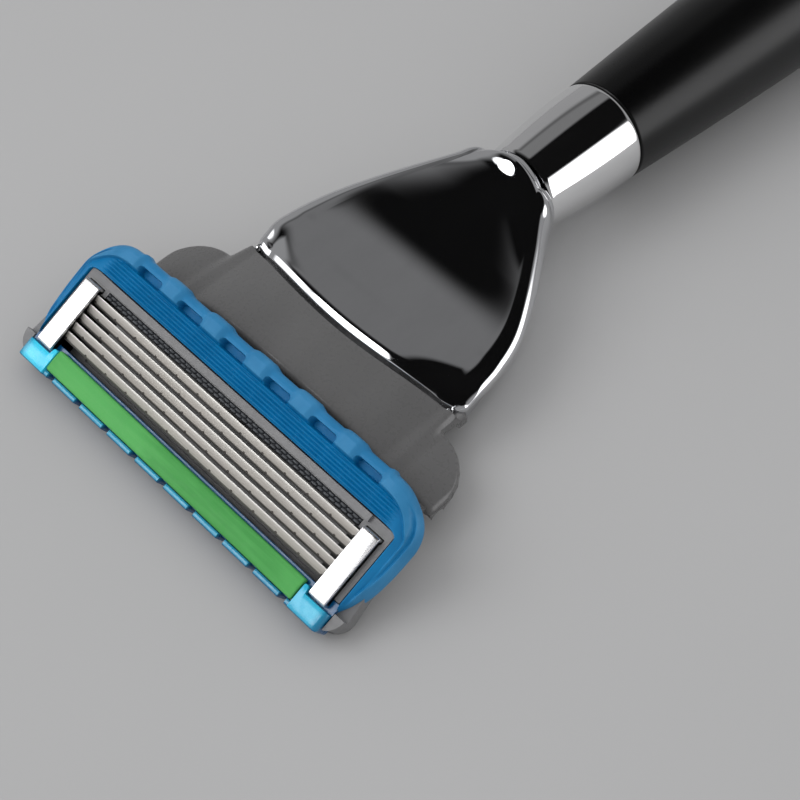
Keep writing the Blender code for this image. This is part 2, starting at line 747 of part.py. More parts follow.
def dock_nose(root):
    """The block that the yoke slips over, bored for the plunger and its spring."""
    body = box((-NOSE_HALF, NOSE_START, NOSE_BOTTOM), (NOSE_HALF, NOSE_END, NOSE_TOP))
    made = piece("dock_nose", body, root, "inner_plastic")
    spot = (0, PLUNGER_Z)
    shoulder = PLUNGER_TIP + FLANGE_BACK - FIT_GAP
    cut(made, rod(PLUNGER_RADIUS + FIT_GAP, NOSE_START - 1, NOSE_END, across=spot))
    cut(made, rod(BORE_RADIUS, shoulder, NOSE_END + 1, across=spot))


def plunger(axis):
    """The spring-loaded plunger: its flat tip bears on the cam and its flange stops in the nose."""
    flange = FLANGE_BACK
    profile = [
        (0, PLUNGER_LENGTH),
        (PLUNGER_STEM, PLUNGER_LENGTH),
        (PLUNGER_STEM, flange + FLANGE_THICK),
        (FLANGE_RADIUS, flange + FLANGE_THICK),
        (FLANGE_RADIUS, flange),
        (PLUNGER_RADIUS, flange),
        (PLUNGER_RADIUS, PLUNGER_CHAMFER),
        (PLUNGER_RADIUS - PLUNGER_CHAMFER, 0),
        (0, 0),
    ]
    turned("plunger", profile, axis, "inner_plastic", 0, 0, segments=20)


def spring_retainer(root):
    """The disc that closes the bore behind the spring and guides the plunger's stem."""
    inner = PLUNGER_STEM + FIT_GAP
    outer = BORE_RADIUS - SEAT_GAP
    profile = [(outer, RETAINER_THICK), (outer, 0), (inner, 0), (inner, RETAINER_THICK)]
    turned("spring_retainer", profile, root, "inner_steel", RETAINER_Y, PLUNGER_Z, segments=20)


def plunger_spring(root):
    start = PLUNGER_TIP + FLANGE_BACK + FLANGE_THICK + SEAT_GAP
    end = RETAINER_Y - SEAT_GAP
    coil("plunger_spring", root, start, end, PLUNGER_Z, SPRING_RADIUS, SPRING_WIRE, SPRING_TURNS)


# ---------------------------------------------------------------- head


def head_half(share):
    return HEAD_HALF * smooth_step(HEAD_STATIONS, share, 1)


def head_section(share, inset, floor):
    """Half of a cross section, from the top's middle out over the brow and down the side.

    The top falls or rises from the middle to the brow as a parabola, the brow is a quarter of an
    ellipse, and the side leans in towards the bottom.
    """
    half = head_half(share) - inset
    brow = smooth_step(HEAD_STATIONS, share, 2) - inset
    middle = smooth_step(HEAD_STATIONS, share, 3) - inset
    roll = min(BROW_ROLL, 0.4 * half)
    flat = half - roll
    points = []
    for i in range(6):
        x = flat * i / 5
        points.append((x, middle + (brow - middle) * (i / 5) ** 2))
    waist = min(brow - 0.9, (brow + SHIELD_BOTTOM) / 2 + 0.6)
    for i in range(1, 5):
        t = math.pi / 2 * i / 4
        points.append((flat + roll * math.sin(t), waist + (brow - waist) * math.cos(t)))
    for i in range(1, 3):
        t = i / 2
        points.append((half - WALL_LEAN * t * t, waist + (SHIELD_BOTTOM - waist) * t))
    if floor < SHIELD_BOTTOM:
        points.append((half - WALL_LEAN, floor))
    return points


def lip(x):
    """How far the front lip bulges forward of its corners, at a distance from the middle."""
    return LIP_BULGE * (1 - min(1.0, (x / HEAD_HALF) ** 2))


def head_loft(inset, shares, floor):
    """A closed loft through the cross sections, with its front end following the bulged lip."""
    shape = bmesh.new()
    rings = []
    for share in shares:
        half = head_section(share, inset, floor)
        ring = half + [(-x, z) for x, z in reversed(half[1:])]
        fade = min(1.0, max(0.0, 1 - share / LIP_FADE)) ** 2
        y = HEAD_Y + LIP_BULGE + share * (HEAD_LENGTH - LIP_BULGE)
        rings.append([shape.verts.new((x, y - lip(x) * fade, z + AXIS_HEIGHT)) for x, z in ring])
    for first, second in zip(rings, rings[1:]):
        for i in range(len(first)):
            k = (i + 1) % len(first)
            shape.faces.new((first[i], first[k], second[k], second[i]))
    for ring in (rings[0], rings[-1]):
        shape.faces.new(ring)
    bmesh.ops.triangulate(shape, faces=[f for f in shape.faces if len(f.verts) > 4])
    return mesh_of(shape, "loft", recalculate=True)


def screw_boss_top():
    """The height at which a screw boss has joined the inside of the shell's top."""
    share = (SCREW_BACK - LIP_BULGE) / (HEAD_LENGTH - LIP_BULGE)
    lowest = min(smooth_step(HEAD_STATIONS, share, column) for column in (2, 3))
    return AXIS_HEIGHT + lowest - HEAD_WALL / 2


def head_shield(root):
    """The chrome top casing: a lofted shell, open below and in front, that rises to a hump over the neck."""
    shares = [i / 16 for i in range(17)]
    made = piece("head_shield", head_loft(0, shares, SHIELD_BOTTOM), root, "head_chrome")
    reach = 1 - HEAD_WALL / (HEAD_LENGTH - LIP_BULGE)
    inner = [-0.1 + (reach + 0.1) * i / 12 for i in range(13)]
    cut(made, head_loft(HEAD_WALL, inner, SHIELD_BOTTOM - 2), "MANIFOLD")
    floor = AXIS_HEIGHT + BASE_BOTTOM + BASE_FLOOR
    top = screw_boss_top()
    for side in (-1, 1):
        spot = (side * SCREW_X, HEAD_Y + SCREW_BACK)
        join(made, rod(SCREW_BOSS, floor + 0.4, top, spot, 12, "Z"), "MANIFOLD")
        cut(made, rod(SCREW_RADIUS + ROD_GAP, 0, top - HEAD_WALL, spot, 12, "Z"), "MANIFOLD")
    cut(made, rod(ROD_HOLE, HEAD_END - 3, HEAD_END + 1, across=(0, AXIS_HEIGHT)), "MANIFOLD")


def base_outline(inset):
    """The head's plan at its bottom, as a half outline from front to back."""
    shares = [0.10 + 0.855 * i / 10 for i in range(11)]
    points = []
    for share in shares:
        y = HEAD_Y + LIP_BULGE + share * (HEAD_LENGTH - LIP_BULGE)
        points.append((head_half(share) - inset, y))
    points[-1] = (points[-1][0], points[-1][1] - max(0.0, inset - BASE_INSET))
    return points


def boss_span():
    end = HEAD_END - HEAD_WALL - REAR_GAP
    return end - BOSS_LENGTH, end


def head_base(root):
    """The lower casing: a tray with the boss that holds the handle's rod."""
    low, high = AXIS_HEIGHT + BASE_BOTTOM, AXIS_HEIGHT + BASE_TOP
    made = piece("head_base", plate(mirrored(base_outline(BASE_INSET)), low, high), root, "head_chrome")
    floor = low + BASE_FLOOR
    pocket = base_outline(BASE_INSET + HEAD_WALL)
    front = pocket[0]
    pocket[0] = (front[0], front[1] - 3)
    cut(made, plate(mirrored(pocket), floor, high + 5))
    boss = ROD_RADIUS + BOSS_WALL
    start, end = boss_span()
    join(made, box((-boss + 0.1, start + 0.1, floor - 0.2), (boss - 0.1, end - 0.1, AXIS_HEIGHT)))
    join(made, rod(boss, start, end, across=(0, AXIS_HEIGHT)))
    cut(made, rod(ROD_RADIUS + ROD_GAP, start - 1, end + 1, across=(0, AXIS_HEIGHT)))
    slot_start = HEAD_Y + BUTTON_START - BUTTON_TRAVEL - RUN_GAP
    slot_end = HEAD_Y + BUTTON_START + BUTTON_LENGTH + RUN_GAP
    half = BUTTON_HALF + RUN_GAP
    cut(made, box((-half, slot_start, low - 1), (half, slot_end, floor + 0.1)))
    for side in (-1, 1):
        spot = (side * SCREW_X, HEAD_Y + SCREW_BACK)
        cut(made, rod(SCREW_RADIUS + 0.1, low - 1, high, spot, 12, "Z"))
        cut(made, rod(SCREW_HEAD + 0.1, low - 1, low + SCREW_SINK, spot, 12, "Z"))


def head_screw(root, name, side):
    """A small screw up through the tray into the shield's boss."""
    low = AXIS_HEIGHT + BASE_BOTTOM + 0.02
    spot = (side * SCREW_X, HEAD_Y + SCREW_BACK)
    made = piece(name, rod(SCREW_HEAD, low, low + SCREW_HEAD_THICK, spot, 12, "Z"), root, "inner_steel")
    join(made, rod(SCREW_RADIUS, low + 0.1, screw_boss_top() - HEAD_WALL - 0.3, spot, 12, "Z"))


def release_button(slide):
    """The thumb pad under the head, with a flange inside the tray that keeps it in its slot."""
    low = AXIS_HEIGHT + BASE_BOTTOM
    floor = low + BASE_FLOOR
    start = HEAD_Y + BUTTON_START
    end = start + BUTTON_LENGTH
    pad = box((-BUTTON_HALF, start, low - BUTTON_PROUD), (BUTTON_HALF, end, floor + 0.3))
    made = piece("release_button", pad, slide, "inner_plastic")
    flange_half = BUTTON_HALF + FLANGE_SIDE
    join(made, box((-flange_half, start - 1, floor + FIT_GAP), (flange_half, end + 0.1, floor + 0.5)))
    rib_half = BUTTON_HALF - RIB_INSET
    for i in range(RIB_COUNT):
        y = start + BUTTON_LENGTH * (i + 0.7) / (RIB_COUNT + 0.4)
        cut(made, box((-rib_half, y, low - 1), (rib_half, y + RIB_WIDTH, low - 0.05)))


def fork_place():
    """The prongs' inner half gap, the crossbar's front, and its bottom."""
    bottom = AXIS_HEIGHT + BASE_BOTTOM + PRONG_BOTTOM
    return NOSE_HALF + 1.5 * RUN_GAP, HEAD_Y + BUTTON_START - BAR_LEAD, bottom


def ejector_fork(slide):
    """Two prongs either side of the nose, joined behind it, that push the yoke off."""
    inner, bar, bottom = fork_place()
    top = bottom + PRONG_HEIGHT
    outer = inner + PRONG_WIDTH
    outline = [(inner, YOKE_END + FIT_GAP), (outer, YOKE_END + FIT_GAP), (outer, bar + BAR_DEPTH)]
    left = [(-x, y) for x, y in reversed(outline)]
    points = outline + left + [(-inner, bar), (inner, bar)]
    made = piece("ejector_fork", plate(points, bottom, top), slide, "inner_steel")
    back = bar + BAR_DEPTH
    join(made, box((-TAB_HALF, back - TAB_DEPTH, bottom + 0.1), (TAB_HALF, back, top + 1.2)))


def button_spring(root):
    bar = fork_place()[1]
    start = bar + BAR_DEPTH + SEAT_GAP
    end = boss_span()[0] - SEAT_GAP
    floor = AXIS_HEIGHT + BASE_BOTTOM + BASE_FLOOR
    height = floor + BUTTON_COIL_HEIGHT
    coil("button_spring", root, start, end, height, BUTTON_COIL, BUTTON_WIRE, BUTTON_TURNS)


# ---------------------------------------------------------------- handle


def grip_radius(along):
    """The grip's radius: it swells over a quarter sine wave, then tapers to the end cap."""
    if along < GRIP_SWELL:
        return COLLAR_BACK_RADIUS + (AXIS_HEIGHT - COLLAR_BACK_RADIUS) * math.sin(math.pi / 2 * along / GRIP_SWELL)
    share = (along - GRIP_SWELL) / (GRIP_LENGTH - GRIP_SWELL)
    return AXIS_HEIGHT - (AXIS_HEIGHT - GRIP_END_RADIUS) * (1 - math.cos(math.pi / 2 * share))


def neck_collar(root):
    """The chrome collar between head and grip, swelling towards the grip, with a spigot into it."""
    steps = 6
    outer = []
    for i in range(steps + 1):
        share = 1 - i / steps
        radius = COLLAR_FRONT_RADIUS + (COLLAR_BACK_RADIUS - COLLAR_FRONT_RADIUS) * math.sin(math.pi / 2 * share)
        outer.append((radius, COLLAR_LENGTH * share))
    bore = ROD_HOLE
    end = COLLAR_LENGTH + SPIGOT_LENGTH
    profile = [(SPIGOT_RADIUS, end), (SPIGOT_RADIUS, COLLAR_LENGTH)] + outer + [(bore, 0), (bore, end)]
    turned("neck_collar", profile, root, "collar_chrome", COLLAR_Y)


def core_rod(root):
    start = boss_span()[0] + ROD_INSET
    end = CAP_Y + CAP_POCKET_DEPTH - ROD_INSET
    piece("core_rod", rod(ROD_RADIUS, start, end, across=(0, AXIS_HEIGHT)), root, "inner_steel")


def grip_barrel(root):
    steps = 13
    outer = []
    for i in range(steps + 1):
        along = GRIP_LENGTH * (1 - i / steps)
        if abs(along - GRIP_SWELL) < GRIP_LENGTH / steps / 2:
            along = GRIP_SWELL
        outer.append((grip_radius(along), along))
    profile = outer + [(GRIP_BORE, 0), (GRIP_BORE, GRIP_LENGTH)]
    turned("grip_barrel", profile, root, "grip_black", GRIP_Y)


def tube(name, root, finish_name, outer, inner, start, length, segments=24):
    profile = [(outer, length), (outer, 0), (inner, 0), (inner, length)]
    turned(name, profile, root, finish_name, start, segments=segments)


def lock_nut(root, start):
    made = piece(
        "lock_nut",
        rod(NUT_RADIUS, start, start + NUT_THICK, across=(0, AXIS_HEIGHT), segments=6),
        root,
        "inner_steel",
    )
    cut(made, rod(ROD_HOLE, start - 1, start + NUT_THICK + 1, across=(0, AXIS_HEIGHT)))


def end_cap(root):
    """The domed chrome cap with a flat butt, hollow round the nut on the end of the rod."""
    steps = 6
    outer = []
    for i in range(steps + 1):
        t = math.pi / 2 * i / steps
        radius = CAP_FLAT_RADIUS + (GRIP_END_RADIUS - CAP_FLAT_RADIUS) * math.sin(t)
        outer.append((radius, CAP_LENGTH - CAP_DOME * (1 - math.cos(t))))
    pocket = [(CAP_POCKET_RADIUS, 0), (CAP_POCKET_RADIUS, CAP_POCKET_DEPTH), (0, CAP_POCKET_DEPTH)]
    profile = [(0, CAP_LENGTH)] + outer + [(GRIP_END_RADIUS, 0)] + pocket
    turned("end_cap", profile, root, "collar_chrome", CAP_Y)


def build_handle(root):
    neck_collar(root)
    core_rod(root)
    grip_barrel(root)
    sleeve = GRIP_BORE - FIT_GAP
    hole = ROD_HOLE
    tube("counterweight", root, "inner_steel", sleeve, hole, GRIP_Y + WEIGHT_START, WEIGHT_LENGTH)
    tube("rear_bush", root, "inner_plastic", sleeve, hole, GRIP_END - BUSH_LENGTH, BUSH_LENGTH)
    washer_start = GRIP_END + 2 * FIT_GAP
    washer_radius = CAP_POCKET_RADIUS - FIT_GAP
    tube("lock_washer", root, "inner_steel", washer_radius, hole, washer_start, WASHER_THICK)
    lock_nut(root, washer_start + WASHER_THICK + FIT_GAP)
    end_cap(root)


def build_head(root, button_slide):
    head_shield(root)
    head_base(root)
    head_screw(root, "head_screw_left", -1)
    head_screw(root, "head_screw_right", 1)
    dock_nose(root)
    spring_retainer(root)
    plunger_spring(root)
    release_button(button_slide)
    ejector_fork(button_slide)
    button_spring(root)


clear_scene()
PARTS = new_collection("cartridge_razor")
CUTTERS = new_collection("cartridge_razor_cutters")
razor = empty("razor", place=(0, -MIDDLE_Y, 0))
yoke_slide = empty("yoke_slide", razor)
cartridge_axis = empty("cartridge_axis", yoke_slide, (0, PIVOT_Y, PIVOT_Z), TILT)
plunger_axis = empty("plunger_axis", razor, (0, PLUNGER_TIP, PLUNGER_Z))
build_cartridge(cartridge_axis)
connector_yoke(yoke_slide)
plunger(plunger_axis)
build_head(razor, empty("button_slide", razor))
build_handle(razor)
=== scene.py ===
"""Looks of the cartridge razor: fine surfaces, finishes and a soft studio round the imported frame.

Shapes are worked out in millimetres as numpy arrays and put into meshes in metres. The cartridge's
pieces are drawn in its face's own axes: u along the blades, v from the green strip to the guard and
n out of the face, with n = 0 at the top of the clips. Everything else is drawn in x, y and z.
"""

import json
import math

import bmesh
import bpy
import numpy as np
from mathutils import Matrix, Vector


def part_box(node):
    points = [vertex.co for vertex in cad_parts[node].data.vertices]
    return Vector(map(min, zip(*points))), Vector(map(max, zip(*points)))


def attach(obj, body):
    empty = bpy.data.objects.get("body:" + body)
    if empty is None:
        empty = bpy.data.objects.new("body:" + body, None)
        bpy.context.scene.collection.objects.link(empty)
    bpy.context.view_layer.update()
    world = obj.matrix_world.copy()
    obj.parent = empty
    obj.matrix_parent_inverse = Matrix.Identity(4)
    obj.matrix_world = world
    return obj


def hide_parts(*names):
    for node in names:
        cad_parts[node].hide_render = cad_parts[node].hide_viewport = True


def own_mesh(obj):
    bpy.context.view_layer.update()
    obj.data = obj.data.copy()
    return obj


MM = 0.001
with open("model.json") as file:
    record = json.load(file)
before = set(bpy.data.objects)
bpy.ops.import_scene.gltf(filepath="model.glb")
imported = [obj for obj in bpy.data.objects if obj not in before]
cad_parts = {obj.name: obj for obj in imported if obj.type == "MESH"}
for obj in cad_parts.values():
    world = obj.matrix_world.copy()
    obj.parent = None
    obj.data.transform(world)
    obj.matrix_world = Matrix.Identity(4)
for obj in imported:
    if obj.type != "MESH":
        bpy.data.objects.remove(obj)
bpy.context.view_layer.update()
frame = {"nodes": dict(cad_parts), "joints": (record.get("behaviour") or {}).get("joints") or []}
JOINTS = {joint["name"]: joint for joint in frame["joints"]}

# ---------------------------------------------------------------- places

HINGE = np.array(JOINTS["cartridge_pivot"]["pos_m"]) / MM
OUT = -np.array(JOINTS["blade_1_float"]["axis"])
OUT = OUT / np.linalg.norm(OUT)
ALONG = np.array((1.0, 0.0, 0.0))
ACROSS = np.cross(OUT, ALONG)
HINGE_V, HINGE_N = 5.0, -3.8  # where the hinge lies in the face's own axes


def span(node):
    """The lowest and highest corner of a CAD node, in millimetres."""
    low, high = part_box(node)
    return np.array(low) / MM, np.array(high) / MM


def face(u, v, n):
    """Points of the face: u along the blades, v towards the guard and n outwards, from the hinge."""
    u, v, n = np.broadcast_arrays(u, v, n)
    return (
        HINGE
        + u[..., None] * ALONG
        + (v[..., None] - HINGE_V) * ACROSS
        + (n[..., None] - HINGE_N) * OUT
    )


def xyz(x, y, z):
    return np.stack(np.broadcast_arrays(x, y, z), axis=-1)


# ---------------------------------------------------------------- number helpers


def ease(low, high, x):
    """0 below low, 1 above high, and 3t^2 - 2t^3 between them."""
    t = np.clip((x - low) / (high - low), 0, 1)
    return t * t * (3 - 2 * t)


def mix(a, b, share):
    return a + (b - a) * share


def through(stations, x):
    """A smooth curve through (x, value) stations: cubic pieces whose slopes are the neighbours' chords'."""
    at, value = np.array(stations, float).T
    slope = np.gradient(value, at)
    x = np.clip(x, at[0], at[-1])
    i = np.clip(np.searchsorted(at, x, side="right") - 1, 0, len(at) - 2)
    width = at[i + 1] - at[i]
    t = (x - at[i]) / width
    return (
        (2 * t**3 - 3 * t**2 + 1) * value[i]
        + (t**3 - 2 * t**2 + t) * width * slope[i]
        + (3 * t**2 - 2 * t**3) * value[i + 1]
        + (t**3 - t**2) * width * slope[i + 1]
    )


def fall(distance, radius):
    """How far a rounded edge has dropped at a distance in from it: r - sqrt(r^2 - (r - d)^2)."""
    inside = np.clip(radius - distance, 0, radius)
    return radius - np.sqrt(radius**2 - inside**2)


def lines(*stops):
    """Grid lines: stops are (start, end, count) runs laid end to end, without repeats."""
    runs = [np.linspace(start, end, count, endpoint=False) for start, end, count in stops]
    return np.concatenate([*runs, [stops[-1][1]]])


def rounded(corners, radius, steps):
    """A closed outline whose corners are quadratic curves that start and end a radius away from each."""
    points = np.array(corners, float)
    radius = np.broadcast_to(np.array(radius, float), len(points))[:, None]

    def reach(neighbour):
        way = neighbour - points
        length = np.linalg.norm(way, axis=1, keepdims=True)
        return points + np.minimum(radius, 0.48 * length) * way / length

    start, end = reach(np.roll(points, 1, 0))[:, None], reach(np.roll(points, -1, 0))[:, None]
    t = np.linspace(0, 1, steps + 1)[None, :, None]
    return ((1 - t) ** 2 * start + 2 * t * (1 - t) * points[:, None] + t**2 * end).reshape(-1, 2)


# ---------------------------------------------------------------- mesh helpers


def quads(rows, columns, wrap_rows=False, wrap_columns=False):
    """The faces of a grid of points, numbered row by row."""
    i = np.arange(rows if wrap_rows else rows - 1)[:, None]
    j = np.arange(columns if wrap_columns else columns - 1)[None, :]
    down, right = (i + 1) % rows, (j + 1) % columns
    corners = (i * columns + j, down * columns + j, down * columns + right, i * columns + right)
    return np.stack(np.broadcast_arrays(*corners), axis=-1).reshape(-1, 4)


def volume(points, faces):
    """Six times the volume inside a closed mesh of quads and triangles, as a sum over fans."""
    total = 0.0
    for k in range(1, faces.shape[1] - 1):
        a, b, c = (points[faces[:, m]] for m in (0, k, k + 1))
        total += np.einsum("ij,ij->", a, np.cross(b, c))
    return total


def piece(name, points, faces, body, finish, slot, stands_for=(), angle=40, attributes=None):
    """A finished piece: the points are in millimetres, and the faces are turned outwards if need be."""
    points = np.asarray(points, float).reshape(-1, 3)
    groups = [np.asarray(group, int) for group in (faces if isinstance(faces, list) else [faces])]
    middle = points.mean(axis=0)
    if sum(volume(points - middle, group) for group in groups) < 0:
        groups = [group[:, ::-1] for group in groups]
    mesh = bpy.data.meshes.new(name)
    mesh.from_pydata(points * MM, [], [tuple(row) for group in groups for row in group.tolist()])
    mesh.update()
    for label, values in (attributes or {}).items():
        layer = mesh.attributes.new(label, "FLOAT", "POINT")
        layer.data.foreach_set("value", np.asarray(values, np.float32).ravel())
    return placed(name, mesh, body, finish, slot, stands_for, angle)


def placed(name, mesh, body, finish, slot, stands_for=(), angle=40):
    """An object at the origin that rides on its body and stands for its CAD nodes."""
    made = bpy.data.objects.new(name, mesh)
    bpy.context.scene.collection.objects.link(made)
    mesh.materials.clear()
    mesh.materials.append(finish)
    mesh.shade_smooth()
    mesh.set_sharp_from_angle(angle=math.radians(angle))
    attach(made, body)
    if stands_for:
        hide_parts(*stands_for)
    return made


def loft_faces(rings, around):
    """Faces of closed rings joined in a row, with one many-sided face over each end ring."""
    sides = quads(rings, around, wrap_columns=True)
    k = np.arange(around)
    return [sides, np.stack([k, (rings - 1) * around + k[::-1]])]


def loft(name, sections, *rest, **more):
    """A closed piece through closed sections, an array of (ring, point, xyz)."""
    rings, around, _ = sections.shape
    labels = more.pop("attributes", None) or {}
    labels = {label: np.broadcast_to(values, (rings, around)) for label, values in labels.items()}
    return piece(name, sections, loft_faces(rings, around), *rest, attributes=labels, **more)


def slab(name, top, bottom, *rest, **more):
    """A closed piece between a top grid and a bottom grid of the same size."""
    rows, columns, _ = top.shape
    sections = np.concatenate([top, bottom[:, ::-1]], axis=1)
    around = 2 * columns
    sides = quads(rows, around, wrap_columns=True)
    j = np.arange(columns - 1)
    near = np.stack([j, j + 1, around - 2 - j, around - 1 - j], axis=-1)
    ends = np.concatenate([near, near[:, ::-1] + (rows - 1) * around])
    labels = more.pop("attributes", None) or {}
    for label, values in labels.items():
        values = np.broadcast_to(values, (rows, columns))
        labels[label] = np.concatenate([values, values[:, ::-1]], axis=1)
    return piece(name, sections, [sides, ends], *rest, attributes=labels, **more)


def swept(name, outline, low, high, edge, *rest, **more):
    """An outline in (v, n) carried along u from low to high, its ends rounded by quarter circles."""
    outline = np.asarray(outline, float)
    ahead, behind = np.roll(outline, -1, 0), np.roll(outline, 1, 0)
    way = ahead - behind
    normal = np.stack([way[:, 1], -way[:, 0]], axis=-1)
    normal /= np.maximum(np.linalg.norm(normal, axis=1, keepdims=True), 1e-9)
    x, y = outline.T
    if np.sum(x * np.roll(y, -1) - y * np.roll(x, -1)) < 0:
        normal = -normal
    turn = np.linspace(0, math.pi / 2, 4)
    along = np.concatenate([low + edge * (1 - np.cos(turn)), (high - edge * (1 - np.cos(turn)))[::-1]])
    inset = np.concatenate([edge * (1 - np.sin(turn)), (edge * (1 - np.sin(turn)))[::-1]])
    flat = outline[None] - inset[:, None, None] * normal[None]
    return loft(name, face(along[:, None], flat[..., 0], flat[..., 1]), *rest, **more)


def turned(name, profile, height, *rest, segments=128, **more):
    """A solid of revolution about the handle's axis: a closed (radius, y) profile carried round it."""
    profile = np.asarray(profile, float)
    turn = np.linspace(0, 2 * math.pi, segments, endpoint=False)[:, None]
    radius, y = profile[None, :, 0], profile[None, :, 1]
    points = xyz(radius * np.sin(turn), y, height + radius * np.cos(turn))
    return piece(name, points, quads(segments, len(profile), True, True), *rest, **more)


def reshaped(mesh, change):
    """Moves a mesh's points: change takes and gives them as an array in millimetres."""
    points = np.empty(len(mesh.vertices) * 3)
    mesh.vertices.foreach_get("co", points)
    mesh.vertices.foreach_set("co", (change(points.reshape(-1, 3) / MM) * MM).ravel())
    mesh.update()


def softened(name, node, width, *rest, angle=30, segments=2):
    """A copy of a CAD node with its points merged, flat faces joined and its edges rounded over."""
    shape = bmesh.new()
    shape.from_mesh(frame["nodes"][node].data)
    bmesh.ops.remove_doubles(shape, verts=shape.verts, dist=1e-7)
    bmesh.ops.dissolve_limit(shape, angle_limit=math.radians(1), verts=shape.verts, edges=shape.edges)
    mesh = bpy.data.meshes.new(name)
    shape.to_mesh(mesh)
    shape.free()
    made = placed(name, mesh, *rest, stands_for=(node,), angle=angle)
    bevel = made.modifiers.new("edges", "BEVEL")
    bevel.width = width * MM
    bevel.segments = segments
    bevel.limit_method = "ANGLE"
    bevel.angle_limit = math.radians(angle)
    return made


# ---------------------------------------------------------------- finishes


class Signal:
    """A value that varies over a surface. Arithmetic on it adds Math nodes to its recipe."""

    def __init__(self, recipe, socket):
        self.recipe = recipe
        self.socket = socket

    def maths(self, operation, first, second):
        return self.recipe.add("Math", {"operation": operation}, {0: first, 1: second})

    def __add__(self, other):
        return self.maths("ADD", self, other)

    def __sub__(self, other):
        return self.maths("SUBTRACT", self, other)

    def __rsub__(self, other):
        return self.maths("SUBTRACT", other, self)

    def __mul__(self, other):
        return self.maths("MULTIPLY", self, other)

    __radd__ = __add__
    __rmul__ = __mul__


class Recipe:
    """The node tree of one finish or of the studio's surroundings."""

    def __init__(self, tree):
        self.tree = tree
        tree.nodes.clear()

    def add(self, kind, settings=None, inputs=None, output=0):
        """A node of this type, with its settings made first and then the values or links of its sockets."""
        made = self.tree.nodes.new("ShaderNode" + kind)
        for key, value in (settings or {}).items():
            setattr(made, key, value)
        for key, value in (inputs or {}).items():
            if isinstance(value, Signal):
                self.tree.links.new(value.socket, made.inputs[key])
            else:
                made.inputs[key].default_value = value
        return Signal(self, made.outputs[output]) if made.outputs else made

    def spot(self, scale):
        """Object coordinates in metres, stretched by a scale."""
        place = self.add("TexCoord", output="Object")
        return self.add("Mapping", None, {"Vector": place, "Scale": scale})

    def noise(self, scale, detail=2.0, roughness=0.5, stretch=(1, 1, 1)):
        inputs = {"Vector": self.spot(stretch), "Scale": scale, "Detail": detail, "Roughness": roughness}
        return self.add("TexNoise", None, inputs, "Fac")

    def band(self, value, low, high, out_low=0.0, out_high=1.0):
        """The value moved smoothly from one range to another, and held at its ends."""
        inputs = {"Value": value, "From Min": low, "From Max": high, "To Min": out_low, "To Max": out_high}
        return self.add("MapRange", {"interpolation_type": "SMOOTHSTEP"}, inputs)

    def blend(self, share, first, second):
        """A colour between two, by the Mix node's own socket numbers for its share, colours and result."""
        wide = [(*c, 1.0) if isinstance(c, tuple) else c for c in (first, second)]
        inputs = {0: share, 6: wide[0], 7: wide[1]}
        return self.add("Mix", {"data_type": "RGBA"}, inputs, 2)

    def toward(self, way, direction):
        """How nearly a way points in a direction: the cosine between them."""
        aim = np.array(direction) / np.linalg.norm(direction)
        return self.add("VectorMath", {"operation": "DOT_PRODUCT"}, {0: way, 1: tuple(aim)}, "Value")

    def label(self, name):
        return self.add("Attribute", {"attribute_name": name}, None, "Fac")

    def bump(self, height, distance, strength=1.0):
        inputs = {"Height": height, "Distance": distance * MM, "Strength": strength}
        return self.add("Bump", None, inputs)


def finish(name, build):
    """A material whose Principled sockets are what build returns: plain values or signals."""
    made = bpy.data.materials.new(name)
    made.use_nodes = True
    recipe = Recipe(made.node_tree)
    sockets = build(recipe)
    colour = sockets.get("Base Color")
    if isinstance(colour, tuple):
        sockets["Base Color"] = (*colour, 1.0)
    shader = recipe.add("BsdfPrincipled", None, sockets)
    recipe.add("OutputMaterial", None, {"Surface": shader})
    return made


def plating(colour, smooth, hazy):
    """Polished plate: a mirror with faint wiped smears and the finest orange peel."""

    def build(r):
        smear = r.noise(260, 4, 0.6, (1, 0.35, 1))
        speck = r.noise(2600, 2)
        rough = r.band(smear, 0.45, 0.75, smooth, hazy) + r.band(speck, 0.7, 0.8, 0.0, 0.03)
        peel = r.bump(r.noise(420, 1), 0.0012, 0.35)
        tint = r.blend(r.band(smear, 0.3, 0.8), colour, tuple(0.94 * c for c in colour))
        return {"Base Color": tint, "Metallic": 1.0, "Roughness": rough, "Normal": peel}

    return build


def moulded(colour, rough, grain=0.004, shift=0.1, speckle=2200):
    """Moulded plastic: a fine spark-eroded grain, faint flow marks and a little change of shade."""

    def build(r):
        flow = r.noise(140, 3, 0.55, (1, 0.5, 1))
        grit = r.noise(speckle, 2, 0.6)
        shade = r.blend(r.band(flow, 0.3, 0.7), colour, tuple((1 - shift) * c for c in colour))
        roughness = r.band(grit, 0.25, 0.8, rough - 0.05, rough + 0.08)
        return {
            "Base Color": shade,
            "Roughness": roughness,
            "Normal": r.bump(grit, grain, 0.6),
            "Specular IOR Level": 0.45,
        }

    return build


def drawn_steel(colour, rough, stretch=(0.04, 1, 1), scale=5200, tooth=0.0015):
    """Rolled or ground steel: fine lines along one way, in shade, gloss and height."""

    def build(r):
        grain = r.noise(scale, 3, 0.6, stretch)
        cloud = r.noise(220, 3)
        shade = r.blend(r.band(grain, 0.3, 0.7), tuple(0.82 * c for c in colour), colour)
        roughness = r.band(grain, 0.3, 0.7, rough - 0.06, rough + 0.08) + r.band(cloud, 0.4, 0.7, 0.0, 0.06)
        lines_up = r.bump(grain, tooth, 0.6)
        return {"Base Color": shade, "Metallic": 1.0, "Roughness": roughness, "Normal": lines_up}

    return build


